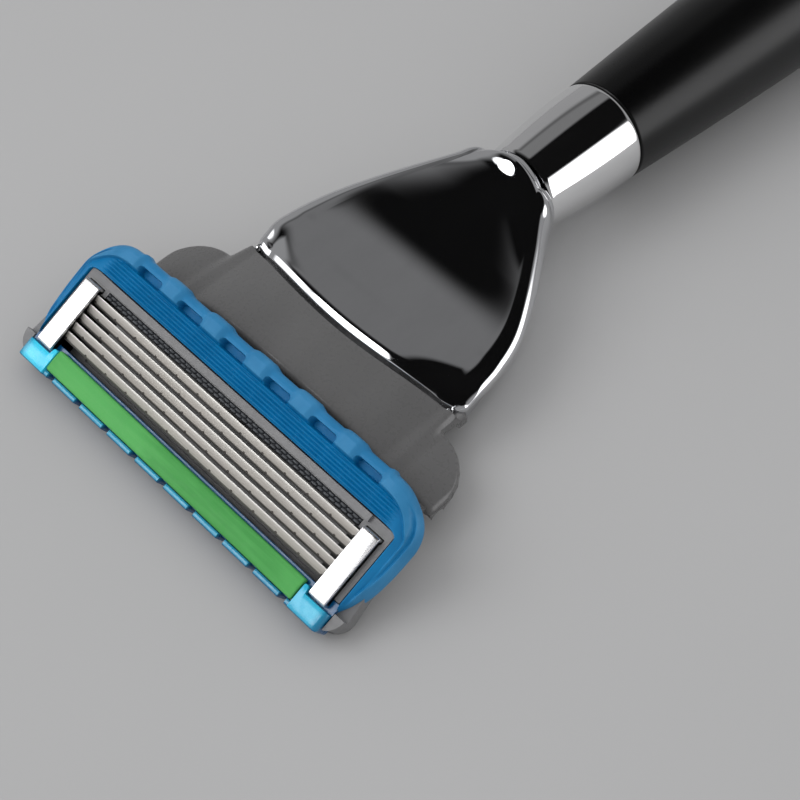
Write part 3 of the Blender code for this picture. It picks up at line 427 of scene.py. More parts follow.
def blade_finish(r):
    """Ground stainless blades: lines along the edge, a bright honed bevel, and painted shade, nearly black,
    over the low back part of each strip.
    """
    grain = r.noise(5200, 3, 0.6, (0.03, 1, 1))
    cloud = r.noise(160, 3, 0.6)
    edge = r.label("edge")
    body = r.blend(r.band(grain, 0.3, 0.7), (0.40, 0.375, 0.335), (0.52, 0.49, 0.445))
    body = r.blend(r.band(cloud, 0.35, 0.7, 0.0, 0.5), body, (0.44, 0.42, 0.39))
    # Painted shade: where the edge attribute is -1, over each strip's back part and underside, the colour is
    # taken nearly to black.
    painted_heel_shade = r.band(edge, -1.0, 0.0, 1.0, 0.0)
    shade = r.blend(r.band(edge, 0.0, 1.0), body, (0.80, 0.78, 0.74))
    shade = r.blend(painted_heel_shade, shade, (0.11, 0.105, 0.10))
    rough = r.band(grain, 0.3, 0.7, 0.36, 0.48)
    ground = r.bump(grain, 0.0012, 0.5)
    return {"Base Color": shade, "Metallic": 0.6, "Roughness": rough, "Normal": ground}


def guard_finish(r):
    """Soft blue elastomer: a deeper blue where the colour attribute is low and a paler one where it is high;
    the deep blue down between the fins, in the slots and in the corner grooves is painted shade, and the
    paler raised band is partly its own moulding and partly painted light.
    """
    tone_and_painted_shade = r.label("tone_and_painted_shade")
    cloud = r.noise(330, 3, 0.6)
    grit = r.noise(3000, 2, 0.6)
    # The deeper blue is both the fins' own blue and painted shade down between them, in the slots and in the
    # corner grooves.
    deep_blue_with_shade = r.blend(r.band(cloud, 0.3, 0.7), (0.0, 0.155, 0.37), (0.0, 0.18, 0.42))
    pale = r.blend(r.band(cloud, 0.3, 0.7), (0.022, 0.185, 0.38), (0.04, 0.225, 0.44))
    return {
        "Base Color": r.blend(tone_and_painted_shade, deep_blue_with_shade, pale),
        "Roughness": r.band(grit, 0.2, 0.8, 0.38, 0.52),
        "Normal": r.bump(grit, 0.004, 0.5),
        "Specular IOR Level": 0.3,
    }


def cap_finish(r):
    """Bright cyan plastic, with painted shade in deeper blue down its walls and wherever its colour
    attribute is low.
    """
    tone_and_painted_shade = r.label("tone_and_painted_shade")
    cloud = r.noise(420, 2)
    bright = r.blend(r.band(cloud, 0.3, 0.7), (0.03, 0.60, 0.86), (0.05, 0.68, 0.92))
    return {
        "Base Color": r.blend(tone_and_painted_shade, (0.0, 0.075, 0.20), bright),
        "Roughness": r.band(r.noise(1800, 2), 0.3, 0.7, 0.22, 0.34),
        "Normal": r.bump(cloud, 0.006, 0.3),
        "Coat Weight": 0.3,
        "Coat Roughness": 0.12,
    }


def strip_finish(r):
    """Waxy green polymer, mottled in two greens, with fine pits and drawn streaks."""
    cloud = r.noise(190, 4, 0.6, (0.35, 1, 1))
    streak = r.noise(2600, 3, 0.6, (0.05, 1, 1))
    pits = r.noise(4200, 2, 0.5)
    shade = r.blend(r.band(cloud, 0.38, 0.64), (0.05, 0.30, 0.06), (0.085, 0.40, 0.095))
    shade = r.blend(r.band(streak, 0.35, 0.75, 0.0, 0.35), shade, (0.12, 0.46, 0.12))
    height = streak * 0.6 + pits * 0.4
    return {
        "Base Color": shade,
        "Roughness": r.band(pits, 0.3, 0.7, 0.42, 0.6),
        "Normal": r.bump(height, 0.006, 0.6),
        "Specular IOR Level": 0.4,
        "Subsurface Weight": 0.12,
        "Subsurface Radius": (0.0004, 0.0009, 0.0004),
        "Subsurface Scale": 1.0,
    }


def grip_finish(r):
    """Matte black coat: an even silk with a very fine tooth and faint handling marks."""
    tooth = r.noise(3600, 3, 0.65)
    marks = r.noise(90, 4, 0.6, (1, 0.3, 1))
    shade = r.blend(r.band(marks, 0.35, 0.7), (0.0009, 0.0009, 0.001), (0.0022, 0.0022, 0.0023))
    rough = r.band(marks, 0.35, 0.7, 0.29, 0.34) + r.band(tooth, 0.3, 0.7, -0.02, 0.03)
    return {
        "Base Color": shade,
        "Roughness": rough,
        "Normal": r.bump(tooth, 0.003, 0.5),
        "Specular IOR Level": 0.3,
    }


def comb_finish(r):
    """Grey plastic teeth, with painted shade nearly black down between them."""
    tone_and_painted_shade = r.band(r.label("tone_and_painted_shade"), 0.02, 0.4)
    grit = r.noise(2400, 2, 0.6)
    grey = r.blend(grit, (0.15, 0.16, 0.175), (0.19, 0.20, 0.21))
    return {
        "Base Color": r.blend(tone_and_painted_shade, (0.018, 0.02, 0.025), grey),
        "Roughness": r.band(grit, 0.25, 0.8, 0.36, 0.5),
        "Normal": r.bump(grit, 0.003, 0.5),
    }


CHROME = finish("head_chrome", plating((0.66, 0.665, 0.68), 0.035, 0.07))
COLLAR = finish("collar_chrome", plating((0.78, 0.78, 0.785), 0.04, 0.08))
GRIP = finish("grip_black", grip_finish)
YOKE = finish("yoke_plastic", moulded((0.125, 0.124, 0.124), 0.29, 0.002, 0.12))
HOUSING = finish("housing_plastic", moulded((0.185, 0.185, 0.188), 0.42, 0.004, 0.1))
COMB = finish("comb_plastic", comb_finish)
GUARD = finish("guard_rubber", guard_finish)
CAP = finish("cap_plastic", cap_finish)
STRIP = finish("strip_polymer", strip_finish)
BLADE = finish("blade_steel", blade_finish)
WELD = finish("weld_steel", drawn_steel((0.13, 0.12, 0.11), 0.5))
CLIP = finish("clip_aluminium", drawn_steel((0.96, 0.96, 0.965), 0.3, (1, 0.05, 0.05), 5200, 0.0004))
STEEL = finish("inner_steel", drawn_steel((0.45, 0.45, 0.46), 0.32, (1, 0.06, 1), 3000))
INNER = finish("inner_plastic", moulded((0.03, 0.03, 0.034), 0.45, 0.004, 0.2))

# ---------------------------------------------------------------- cartridge

GUARD_HALF, GUARD_EDGE = 21.55, 8.55  # its outer edges along u and v
GUARD_INNER, GUARD_START = 19.95, 4.82  # its inner edges
CORNER_U, CORNER_V = 5.0, 4.3  # the outer corner's quarter ellipse
ARM_TOP, ARM_END = 3.9, -3.3
ARM_EDGE = ((ARM_END, 20.0), (-2.2, 20.62), (-0.8, 21.1), (1.2, 21.42), (3.0, 21.53))
FIN_PITCH = 0.335
BAND_START = 2.08  # how far from the inner edge the raised band starts
DROOP = 1.5  # how far the arms and corners roll down outwards
SLOTS = np.array((2.9, 8.65, 14.2))
SLOT_HALF, SLOT_LOW, SLOT_HIGH, SLOT_ROUND = 1.5, 6.9, 7.6, 0.33
SLOT_FLOOR = -1.42


def slot_window(u, half, soft):
    """1 over each slot's span of u, falling to 0 over a soft distance outside it."""
    away = np.abs(np.abs(u)[..., None] - SLOTS) - half
    return (1 - ease(0, soft, away)).max(axis=-1)


def guard_paths():
    """Matching points along the guard's inner and outer edges, from its middle to the right arm's tip.

    Front: straight lines. Corner: the outer edge is a quarter of an ellipse, and the inner one a
    square-shouldered quarter. Arm: the outer edge curves in to the tip. The third array is 1 on the
    front and falls to 0 round the corner.
    """
    u = np.linspace(0, GUARD_HALF - CORNER_U, 190, endpoint=False)
    bulge = 0.26 * (1 - slot_window(u, 1.0, 1.1)) * (1 - ease(15.9, 16.5, u))
    front_in = np.stack([u, np.full_like(u, GUARD_START)], axis=-1)
    front_out = np.stack([u, GUARD_EDGE + bulge], axis=-1)
    turn = np.linspace(math.pi / 2, 0, 80, endpoint=False)
    top_u, top_v = GUARD_HALF - CORNER_U, GUARD_EDGE - CORNER_V
    cos, sin = np.cos(turn), np.sin(turn)
    corner_out = np.stack([top_u + CORNER_U * cos, top_v + CORNER_V * sin], axis=-1)
    square = 0.45
    in_u, in_v = GUARD_INNER - top_u, GUARD_START - ARM_TOP
    corner_in = np.stack([top_u + in_u * cos**square, ARM_TOP + in_v * sin**square], axis=-1)
    share = np.linspace(0, 1, 90)
    out_v = mix(top_v, ARM_END, share)
    out_u = through((*ARM_EDGE, (top_v, GUARD_HALF)), out_v)
    arm_out = np.stack([out_u, out_v], axis=-1)
    arm_in = np.stack([np.full_like(share, GUARD_INNER), mix(ARM_TOP, ARM_END, share)], axis=-1)
    inner = np.concatenate([front_in, corner_in, arm_in])
    outer = np.concatenate([front_out, corner_out, arm_out])
    round_corner = 1 - ease(0, 0.75, np.linspace(0, 1, len(turn)))
    return inner, outer, np.concatenate([np.ones(len(u)), round_corner, np.zeros(len(share))])


def guard():
    """The blue guard: a grid between two edges, of fins and then a raised band with slots and humps.

    Fins: rounded ridges along u, raised cosines in v. Band: a plateau with a rounded outer edge, a
    crescent groove round each corner, and slots with saddles between humps. The colour attribute is 0
    down between the fins and 1 on the band: it paints shade into the fins' troughs, the grooves, the
    saddles and the slots, and the band's paler blue is partly its own moulding and partly painted light.
    """
    inner, outer, front = guard_paths()
    inner = np.concatenate([inner[:0:-1] * (-1, 1), inner])
    outer = np.concatenate([outer[:0:-1] * (-1, 1), outer])
    front = np.concatenate([front[:0:-1], front])[:, None]
    rim = 0.9 + 0.1 * np.sin(np.linspace(0, math.pi / 2, 14))
    t = np.concatenate([np.linspace(0, 0.9, 84, endpoint=False), rim])
    spot = inner[:, None] + t[None, :, None] * (outer - inner)[:, None]
    u, v = spot[..., 0], spot[..., 1]
    width = np.linalg.norm(outer - inner, axis=1)[:, None]
    inside, outside = t[None] * width, (1 - t[None]) * width
    field = mix(0.42 * np.minimum(width, 1.7), BAND_START, front)
    on_band = ease(field - 0.06, field + 0.24, inside)
    ridge = 0.5 - 0.5 * np.cos(2 * math.pi * (v - GUARD_START - 0.1) / FIN_PITCH)
    fins = ridge**0.8 * ease(0.6, 1.0, front) * ease(0.05, 0.12, inside)
    fins = fins * (1 - ease(field - 0.14, field, inside))
    height = mix(-0.5 + 0.22 * fins, -0.06, on_band)
    crescent = np.exp(-(((outside - 0.62) / 0.17) ** 2)) * (1 - front)
    crescent = crescent * ease(-1.5, 1.5, v) * (1 - ease(6.6, 7.6, v))
    height = height - 0.42 * crescent
    hump = slot_window(u, 1.25, 0.9) * ease(6.6, 7.0, v) * front
    height = height - 0.3 * hump
    away_u = np.abs(np.abs(u)[..., None] - SLOTS).min(axis=-1) - (SLOT_HALF - SLOT_ROUND)
    middle, half = (SLOT_LOW + SLOT_HIGH) / 2, (SLOT_HIGH - SLOT_LOW) / 2
    away_v = np.abs(v - middle) - (half - SLOT_ROUND)
    away = np.hypot(np.maximum(away_u, 0), np.maximum(away_v, 0))
    away = away + np.minimum(np.maximum(away_u, away_v), 0)
    hole = 1 - ease(0.30, 0.42, away)
    height = height - fall(outside, 0.62) * 1.1 - fall(inside, 0.07)
    height = mix(height, SLOT_FLOOR, hole)
    # Painted shade in the colour attribute: it falls in the fins' troughs, the corner crescents, the saddles
    # and the slots, and rises on the band, which is also partly paler in its own moulding.
    tone_and_painted_shade = np.clip(on_band * 0.9 + 0.12 * fins - 0.75 * crescent - 0.35 * hump, 0, 1) * (1 - hole)
    height = height - DROOP * (1 - front) * t[None] ** 1.5
    bottom = np.minimum(-1.55, height - 0.12)
    slab("guard_moulding", face(u, v, height), face(u, v, bottom), "cartridge", GUARD,
         "guard_rubber", stands_for=("guard_elastomer",), angle=50, attributes={"tone_and_painted_shade": tone_and_painted_shade})


def comb():
    """The comb: two staggered rows of round-topped teeth on a strip, as a product of raised cosines."""
    half = span("comb_strip")[1][0]
    pitch, start, depth = 0.74, 3.2, 0.31
    u = np.linspace(-half, half, 720)[:, None]
    v = lines((start, 3.28, 3), (3.28, 3.74, 16), (3.74, 3.82, 3))[None]
    row = ease(3.46, 3.54, v)
    wave = 0.5 + 0.5 * np.cos(2 * math.pi * u / pitch + math.pi * row)
    first = np.sin(math.pi * np.clip((v - start) / depth, 0, 1)) ** 2
    second = np.sin(math.pi * np.clip((v - start - depth) / depth, 0, 1)) ** 2
    tooth = np.clip(wave**0.7 * (first + second), 0, 1)
    height = -0.82 + 0.46 * tooth - fall(half - np.abs(u), 0.2)
    floor = np.full_like(height, -1.25)
    # The tooth height is also the colour attribute: the finish paints shade nearly black down between the
    # teeth.
    slab("comb_teeth", face(u, v, height), face(u, v, floor), "cartridge", COMB, "housing_plastic",
         stands_for=("comb_strip",), attributes={"tone_and_painted_shade": tooth})


FIRST_EDGE, BLADE_PITCH = -1.2, 1.05


def blades():
    """Five blades: a thin strip with a honed two-sided bevel, and the dots that weld it to its support.

    Each edge faces the guard, and the strip slopes down and away from it.
    """
    slope = math.radians(22)
    run, drop = math.cos(slope), math.sin(slope)
    half = span("blade_1")[1][0]
    for k in range(5):
        edge = FIRST_EDGE + BLADE_PITCH * k

        def under(along, depth, edge=edge):
            return (edge - along * run + depth * drop, -0.4 - along * drop - depth * run)

        section = ((0.0, 0.012), (0.05, 0.0), (0.17, -0.004), (0.70, 0.0), (0.78, 0.0),
                   (0.94, 0.01), (0.94, 0.08), (0.92, 0.1), (0.3, 0.1), (0.02, 0.022))
        outline = np.array([under(along, depth) for along, depth in section])
        body = f"blade_{k + 1}_unit"
        # The edge attribute: 1 on the honed bevel, and -1 where the finish paints shade over the strip's
        # back part and underside.
        bevel_and_heel_shade = np.array([1, 1, 0.4, 0, -1, -1, -1, -1, -1, 0])
        swept(f"blade_strip_{k + 1}", outline, -half, half, 0.02, body, BLADE, "blade_steel",
              stands_for=(f"blade_{k + 1}",), angle=25, attributes={"edge": bevel_and_heel_shade[None]})
        weld_dots(k, under, half, body)


def weld_dots(k, under, half, body):
    """A row of flat round dots, each a low cap of three rings, spaced evenly along the blade."""
    pitch = 2.85
    start = -half + 1.4 + pitch / 2 * (k % 2)
    centres = np.arange(start, half - 0.8, pitch)
    turn = np.linspace(0, 2 * math.pi, 12, endpoint=False)
    rings = ((0.15, 0.03), (0.14, -0.012), (0.07, -0.016))
    points, faces = [], []
    for i, centre in enumerate(centres):
        base = i * len(rings) * len(turn)
        for radius, depth in rings:
            v, n = under(0.72 + 0.75 * radius * np.sin(turn), depth)
            points.append(face(centre + radius * np.cos(turn), v, n))
        sides, caps = loft_faces(len(rings), len(turn))
        faces.append((sides + base, caps + base))
    points = np.concatenate(points)
    groups = [np.concatenate([pair[m] for pair in faces]) for m in (0, 1)]
    piece(f"weld_dots_{k + 1}", points, groups, body, WELD, "blade_steel")


def clips():
    """The bright straps over the blades' ends: a flat band with turned-down legs and bent feet."""
    thick, reach, foot, low = 0.32, 3.64, 0.7, -3.25
    right = [(reach, 0), (reach, low - thick), (reach - foot, low - thick), (reach - foot, low),
             (reach - thick, low), (reach - thick, -thick)]
    corners = [(-reach, 0), *right, *[(-v, n) for v, n in right[:0:-1]]]
    radii = [0.26, 0.26, 0.3, 0.08, 0.08, 0.05, 0.05, 0.05, 0.05, 0.08, 0.08, 0.3]
    outline = rounded(corners, radii, 5)
    for name, node in (("clip_band_left", "clip_left"), ("clip_band_right", "clip_right")):
        low_corner, high_corner = span(node)
        swept(name, outline, low_corner[0], high_corner[0], 0.07, "cartridge", CLIP, "clip_aluminium",
              stands_for=(node,), angle=30)


def cap_rail():
    """The cyan carrier: one section carried along u, whose plateau reaches forward at the ends.

    Along the strip only the rail stands up. Past it the plateau reaches to the clip, and a little
    further beside the clip's inner side. Gaps between the rail's teeth pull its back and top in.
    """
    half = span("cap_carrier")[1][0]
    strip = span("lube_strip")[1][0]
    gaps = 3.9 * (np.arange(9) - 4)
    gap_sides = gaps[:, None] + np.array((0.28, 0.33, 0.37, 0.44, -0.28, -0.33, -0.37, -0.44))
    steps = np.concatenate([strip + np.array((0.06, 0.1, 0.16, 0.2)), (17.06, 17.1, 17.14),
                            half - np.array((0.02, 0.06, 0.12, 0.2, 0.3, 0.42))])
    fine = np.concatenate([np.linspace(-half, half, 300), gap_sides.ravel(), steps, -steps])
    u = np.unique(np.round(fine, 4))[:, None]
    end = ease(strip + 0.05, strip + 0.18, np.abs(u))
    beside = 1 - ease(17.02, 17.16, np.abs(u))
    front = mix(-5.2, mix(-3.86, -3.2, beside), end)
    gap = 1 - ease(0.32, 0.42, np.abs(u - gaps[None]).min(axis=1, keepdims=True))
    rear = -5.75
    back = rear + 0.36 * gap
    round_end = fall(half - np.abs(u), 0.5)
    top = mix(-0.42, -0.13, end) - 0.75 * gap * (1 - end) - round_end
    bed = np.full_like(u, -0.86)
    r = 0.16
    plateau = np.maximum(front - 0.1, back + 2 * r + 0.02)
    lip = plateau + 0.62 * r
    spots = [
        (back + 0.06, -2.4), (back + 0.01, -2.3), (back, -1.8), (back, -1.2), (back, top - 0.9 * r - 0.25),
        (back, top - r), (back + 0.3 * r, top - 0.3 * r), (back + r, top),
        (mix(back + r, plateau, 0.33), top), (mix(back + r, plateau, 0.66), top),
        (plateau - 0.3 * r, top), (plateau + 0.5 * r, top - 0.25 * r),
        (lip, np.minimum(top - r, top * 0.5 + bed * 0.5)), (lip, bed),
        (mix(plateau, -2.72, 0.5), bed), (-2.75, bed), (-2.72, -0.95), (-2.72, -1.3), (-3.9, -1.3),
        (-5.12, -1.3), (-5.12, -1.9), (-5.12, -2.36), (-5.16, -2.4),
    ]
    v = np.concatenate([np.broadcast_to(a, u.shape) for a, _ in spots], axis=1)
    n = np.concatenate([np.broadcast_to(b, u.shape) for _, b in spots], axis=1)
    v = np.maximum(v, rear + fall(half - np.abs(u), 0.35))
    # Painted shade in the colour attribute: dark down the rail's walls, in the gaps between its teeth and
    # over its rounded ends, darker along the strip than on the end pieces, and darker towards +u.
    tone_and_painted_shade = ease(-0.8, -0.4, n) * ease(rear, -5.55, v) * (1 - 0.7 * ease(half - 1.1, half - 0.1, np.abs(u)))
    tone_and_painted_shade = tone_and_painted_shade * mix(0.42, 1.0, end) * (1 - 0.35 * ease(0, half, u))
    loft("cap_moulding", face(u, v, n), "cartridge", CAP, "cap_plastic", stands_for=("cap_carrier",),
         angle=45, attributes={"tone_and_painted_shade": tone_and_painted_shade})


def green_strip():
    """The lubricating strip: a low crowned bar with soft edges."""
    low, high = -0.8, 0.04
    half = span("lube_strip")[1][0]
    corners = [(-5.1, low), (-2.97, low), (-2.97, high - 0.12), (-4.0, high), (-5.1, high - 0.1)]
    outline = rounded(corners, [0.05, 0.05, 0.2, 0.9, 0.22], 6)
    swept("green_strip", outline, -half, half, 0.16, "cartridge", STRIP, "strip_polymer",
          stands_for=("lube_strip",), angle=50)


# ---------------------------------------------------------------- head and yoke

HANDLE_Z = (span("grip_barrel")[0][2] + span("grip_barrel")[1][2]) / 2
HEAD_LOW, HEAD_HIGH = span("head_shield")
HEAD_HALF = HEAD_HIGH[0]
LIP_BULGE = 1.9
HEAD_FLOOR = -3.7  # below the handle's axis
BROW_ROLL = 2.2
# The head by share of its length: half width as a share, and heights of brow and middle over the axis.
STATIONS = np.array((
    (0.00, 1.000, -1.50, -0.10),
    (0.08, 1.002, -0.70, -0.25),
    (0.22, 0.985, -0.30, -0.50),
    (0.40, 0.915, 0.30, -0.10),
    (0.56, 0.790, 1.35, 1.40),
    (0.72, 0.635, 2.50, 3.05),
    (0.86, 0.485, 3.60, 4.60),
    (0.95, 0.410, 4.00, 5.55),
    (1.00, 0.370, 3.20, 4.90),
))
SIDES, BROWS, MIDDLES = (STATIONS[:, [0, column]] for column in (1, 2, 3))


def crown_power(share):
    """How square the top's section is: flat with a late turn over the dish, a parabola over the hump."""
    return mix(4.0, 2.0, ease(0.5, 0.8, share))


def head_top(x, share):
    """The height of the shield's top over x: a power curve from the middle out to the brow."""
    brow, middle = through(BROWS, share), through(MIDDLES, share)
    flat = HEAD_HALF * through(SIDES, share) - 1.2
    return middle + (brow - middle) * np.abs(x / flat) ** crown_power(share)


def lip_y(x):
    """The front lip: it bulges forward in the middle as a parabola."""
    return HEAD_LOW[1] + LIP_BULGE * np.minimum(1, (x / HEAD_HALF) ** 2)


def shield():
    """The chrome casing: sections from its front lip to the hump over the neck, with rolled ends.

    A section is a power curve over the top, a quarter of an ellipse round the brow and a side that
    leans in as a parabola. The front rolls over a bright bevel into a hem, and the rear rolls in to a
    ring round the rod.
    """
    share = lines((0, 0.12, 14), (0.12, 1.0, 109))[:, None]
    half = HEAD_HALF * through(SIDES, share)
    brow, middle = through(BROWS, share), through(MIDDLES, share)
    roll = np.minimum(BROW_ROLL, 0.4 * half)
    flat = half - roll
    across = np.linspace(0, 1, 34)[None]
    crown_x = flat * across
    crown_z = middle + (brow - middle) * across ** crown_power(share)
    waist = np.minimum(brow - 0.9, (brow + HEAD_FLOOR) / 2 + 0.6)
    turn = np.linspace(0, math.pi / 2, 14)[None, 1:]
    brow_x = flat + roll * np.sin(turn)
    brow_z = waist + (brow - waist) * np.cos(turn)
    lower = np.linspace(0, 1, 12)[None, 1:]
    wall_x = half - 0.7 * lower**2
    wall_z = waist + (HEAD_FLOOR - waist) * lower
    x = np.concatenate([crown_x, brow_x, wall_x], axis=1)
    z = np.concatenate([crown_z, brow_z, wall_z], axis=1)
    reach = HEAD_HIGH[1] - HEAD_LOW[1] - LIP_BULGE
    fade = np.clip(1 - share / 0.35, 0, 1) ** 2
    bulge = LIP_BULGE * (1 - np.minimum(1, (x / HEAD_HALF) ** 2))
    y = HEAD_LOW[1] + LIP_BULGE + share * reach - bulge * fade
    x, y, z = front_roll(x, y, z)
    x, y, z = rear_roll(x, y, z)
    sheet = np.concatenate([xyz(-x, y, z)[:, :0:-1], xyz(x, y, z)], axis=1) + (0, 0, HANDLE_Z)
    rows, columns, _ = sheet.shape
    made = piece("shield_casing", sheet, quads(rows, columns)[:, ::-1], "handle", CHROME, "head_chrome",
                 stands_for=("head_shield",), angle=60)
    wall = made.modifiers.new("wall", "SOLIDIFY")
    wall.thickness = 0.55 * MM
    wall.offset = -1
    wall.use_even_offset = False


def front_roll(x, y, z):
    """Rows added before the first: a stepped hem, the lip's upright edge and a bevel up to the top.

    Each step is how far it lies in front of the top's start and how deep it lies under the top.
    """
    lead = 1.0
    hem = ((1.05, 1.75), (1.15, 1.4), (1.15, 1.2), (1.12, 1.12), (1.0, 1.04), (0.96, 0.98))
    upright = ((0.95, 0.70), (0.94, 0.58), (0.9, 0.48), (0.82, 0.40))
    bevel = ((0.74, 0.345), (0.44, 0.15), (0.36, 0.105), (0.2, 0.04), (0.08, 0.01))
    forward, depth = np.array(hem + upright + bevel).T[:, :, None]
    way_x, way_z = np.gradient(x[0]), np.gradient(z[0])
    length = np.hypot(way_x, way_z)
    upwards = np.sign(way_x[0])
    lead_x = x[:1] + depth * way_z / length * upwards
    lead_z = z[:1] - depth * way_x / length * upwards
    lead_y = y[:1] + lead - forward
    moved = y + lead * np.clip(1 - (y - y[:1]) / 6, 0, 1)
    return np.concatenate([lead_x, x]), np.concatenate([lead_y, moved]), np.concatenate([lead_z, z])


def rear_roll(x, y, z):
    """Rows added after the last: they roll in over a small radius, then close on a ring round the rod."""
    radius, centre, ring = 0.8, 0.6, 2.3
    turn = np.linspace(0, math.pi / 2, 8)[1:, None]
    size = np.hypot(x[-1:], z[-1:] - centre)
    shrink = 1 - radius * (1 - np.cos(turn)) / np.maximum(size, 2.5)
    y_end = y[-1:]
    y = y.copy()
    back = np.clip((y - y_end + 3) / 3, 0, 1) ** 2
    y = y - radius * back
    roll_x, roll_z = x[-1:] * shrink, centre + (z[-1:] - centre) * shrink
    roll_y = y[-1:] + radius * np.sin(turn)
    angle = np.linspace(0, math.radians(150), x.shape[1])[None]
    ring_x, ring_z = ring * np.sin(angle), ring * np.cos(angle)
    close = np.linspace(0, 1, 5)[1:, None]
    close_x, close_z = mix(roll_x[-1:], ring_x, close), mix(roll_z[-1:], ring_z, close)
    close_y = np.broadcast_to(roll_y[-1:], close_x.shape)
    return (
        np.concatenate([x, roll_x, close_x]),
        np.concatenate([y, np.broadcast_to(roll_y, roll_x.shape), close_y]),
        np.concatenate([z, roll_z, close_z]),
    )


def tray():
    """The lower casing: the CAD piece with rolled edges."""
    softened("tray_casing", "head_base", 0.3, "handle", CHROME, "head_chrome", angle=35, segments=3)


def lowered(points):
    """Keeps the frame's top below the hull that covers it: z is held under steps of x, behind the ears."""
    away = np.abs(points[:, 0])
    limit = np.where(away < 9.2, 5.7, 4.2 - 0.3 * ease(13.0, 14.0, away) - 0.4 * ease(14.5, 16.5, away))
    behind = points[:, 1] > span("dock_nose")[0][1] - 0.6
    points[:, 2] = np.where(behind, np.minimum(points[:, 2], limit), points[:, 2])
    return points


def yoke():
    """The yoke: the CAD frame with soft edges, under a hull whose raised middle meets the lip.

    The hull's height follows the lip's. A step down its sides leads to the lower wings, which are round
    in plan and crowned as a parabola, and all edges are quarter circles.
    """
    base = softened("yoke_frame", "connector_yoke", 0.25, "yoke", YOKE, "yoke_plastic", angle=35, segments=3)
    reshaped(base.data, lowered)
    high = span("connector_yoke")[1]
    back = high[1]
    half = high[0] - 0.02
    start = span("dock_nose")[0][1] - 0.25
    neck, wing_round = 13.75, 4.875
    x = lines((0, neck - 0.3, 60), (neck - 0.3, neck, 10), (neck, neck + 0.25, 6),
              (neck + 0.25, half - 1.0, 30), (half - 1.0, half, 24))
    from_centre = np.clip(x - (high[0] - wing_round), 0, wing_round - 0.05)
    wing_back = back - wing_round + np.sqrt((wing_round - 0.05) ** 2 - from_centre**2)
    tongue_back = lip_y(np.minimum(x, HEAD_HALF)) + 1.2
    rear = mix(tongue_back, wing_back, ease(neck - 0.12, neck + 0.12, x))
    front = start + 0.3 * fall(half - x, 1.0)
    x = x[:, None]
    first = 0.12 * (1 - np.cos(np.linspace(0, math.pi / 2, 10)))
    last = 0.97 + 0.03 * np.sin(np.linspace(0, math.pi / 2, 8))
    t = np.concatenate([first, np.linspace(0.12, 0.7, 30)[1:], np.linspace(0.7, 0.97, 40)[1:], last[1:]])
    y = mix(front[:, None], rear[:, None], t[None])
    lip_z = head_top(np.minimum(x, HEAD_HALF - 1.4), np.zeros_like(x)) + HANDLE_Z
    raised = lip_z - 0.42 - 0.25 * ease(5.0, 0.0, y - start)
    wing = 4.95 - 0.06 * (x - 14.8) ** 2 - 0.03 * (y - back + 3.5) ** 2
    height = mix(raised, wing, ease(13.3, 14.7, x + 0.25 * (y - back + 4) / 6))
    gap = lip_y(np.minimum(x, HEAD_HALF)) + 0.1 - y
    height = height - 0.9 * (1 - ease(0.1, 0.62, gap)) * (1 - ease(neck, neck + 0.5, x))
    edge = np.minimum(y - front[:, None], rear[:, None] - y)
    side_gap = np.where(x < neck - 0.1, 9.0, half - x)
    height = height - fall(np.maximum(edge, 0), 0.55) - fall(np.clip(side_gap, 0, 9), 0.5)
    under = mix(4.2, 3.15, ease(13.3, 14.7, x))
    bottom = np.minimum(height - 0.12, np.where(y > back - 0.3, height - 0.5, under))
    top, floor = (np.concatenate([xyz(-x[:0:-1], y[:0:-1], z[:0:-1]), xyz(x, y, z)])
                  for z in (height, bottom))
    slab("yoke_hull", top, floor, "yoke", YOKE, "yoke_plastic", angle=50)


# ---------------------------------------------------------------- handle


def collar():
    """The chrome sleeve: its radius swells towards the grip as a quarter sine wave, with turned edges."""
    low, high = span("neck_collar")
    grip_start = span("grip_barrel")[0][1]
    back = grip_start - 0.1
    front_r, back_r = 4.5, 5.42
    share = np.linspace(0, 1, 48)
    y = mix(low[1], back, share)
    radius = front_r + (back_r - front_r) * np.sin(math.pi / 2 * share)
    edge, spigot, bore = 0.12, 3.5, 2.1
    radius = radius - fall(y - low[1], edge) - fall(back - y, edge)
    outer = np.stack([radius, y], axis=-1)
    inner = [(spigot, back), (spigot, high[1]), (bore, high[1]), (bore, low[1]), (front_r - 0.5, low[1])]
    turned("collar_sleeve", np.concatenate([outer, inner]), HANDLE_Z, "handle", COLLAR, "collar_chrome",
           stands_for=("neck_collar",), segments=192)


def grip():
    """The long grip: the radius swells as a quarter sine wave, then tapers as a quarter cosine."""
    low, high = span("grip_barrel")
    length = high[1] - low[1]
    swell, thick, start_r, end_r, bore = 46.0, high[0], 5.42, 5.8, 3.7
    along = length * (0.5 - 0.5 * np.cos(np.linspace(0, math.pi, 150)))
    first = start_r + (thick - start_r) * np.sin(math.pi / 2 * np.minimum(along / swell, 1))
    past = np.clip((along - swell) / (length - swell), 0, 1)
    after = (thick - end_r) * (1 - np.cos(math.pi / 2 * past))
    edge = 0.22
    radius = first - after - fall(along, edge) - fall(length - along, edge)
    outer = np.stack([radius, low[1] + along], axis=-1)
    inner = [(bore, high[1]), (bore, low[1])]
    turned("grip_sleeve", np.concatenate([outer, inner]), HANDLE_Z, "handle", GRIP, "grip_black",
           stands_for=("grip_barrel",), segments=192)


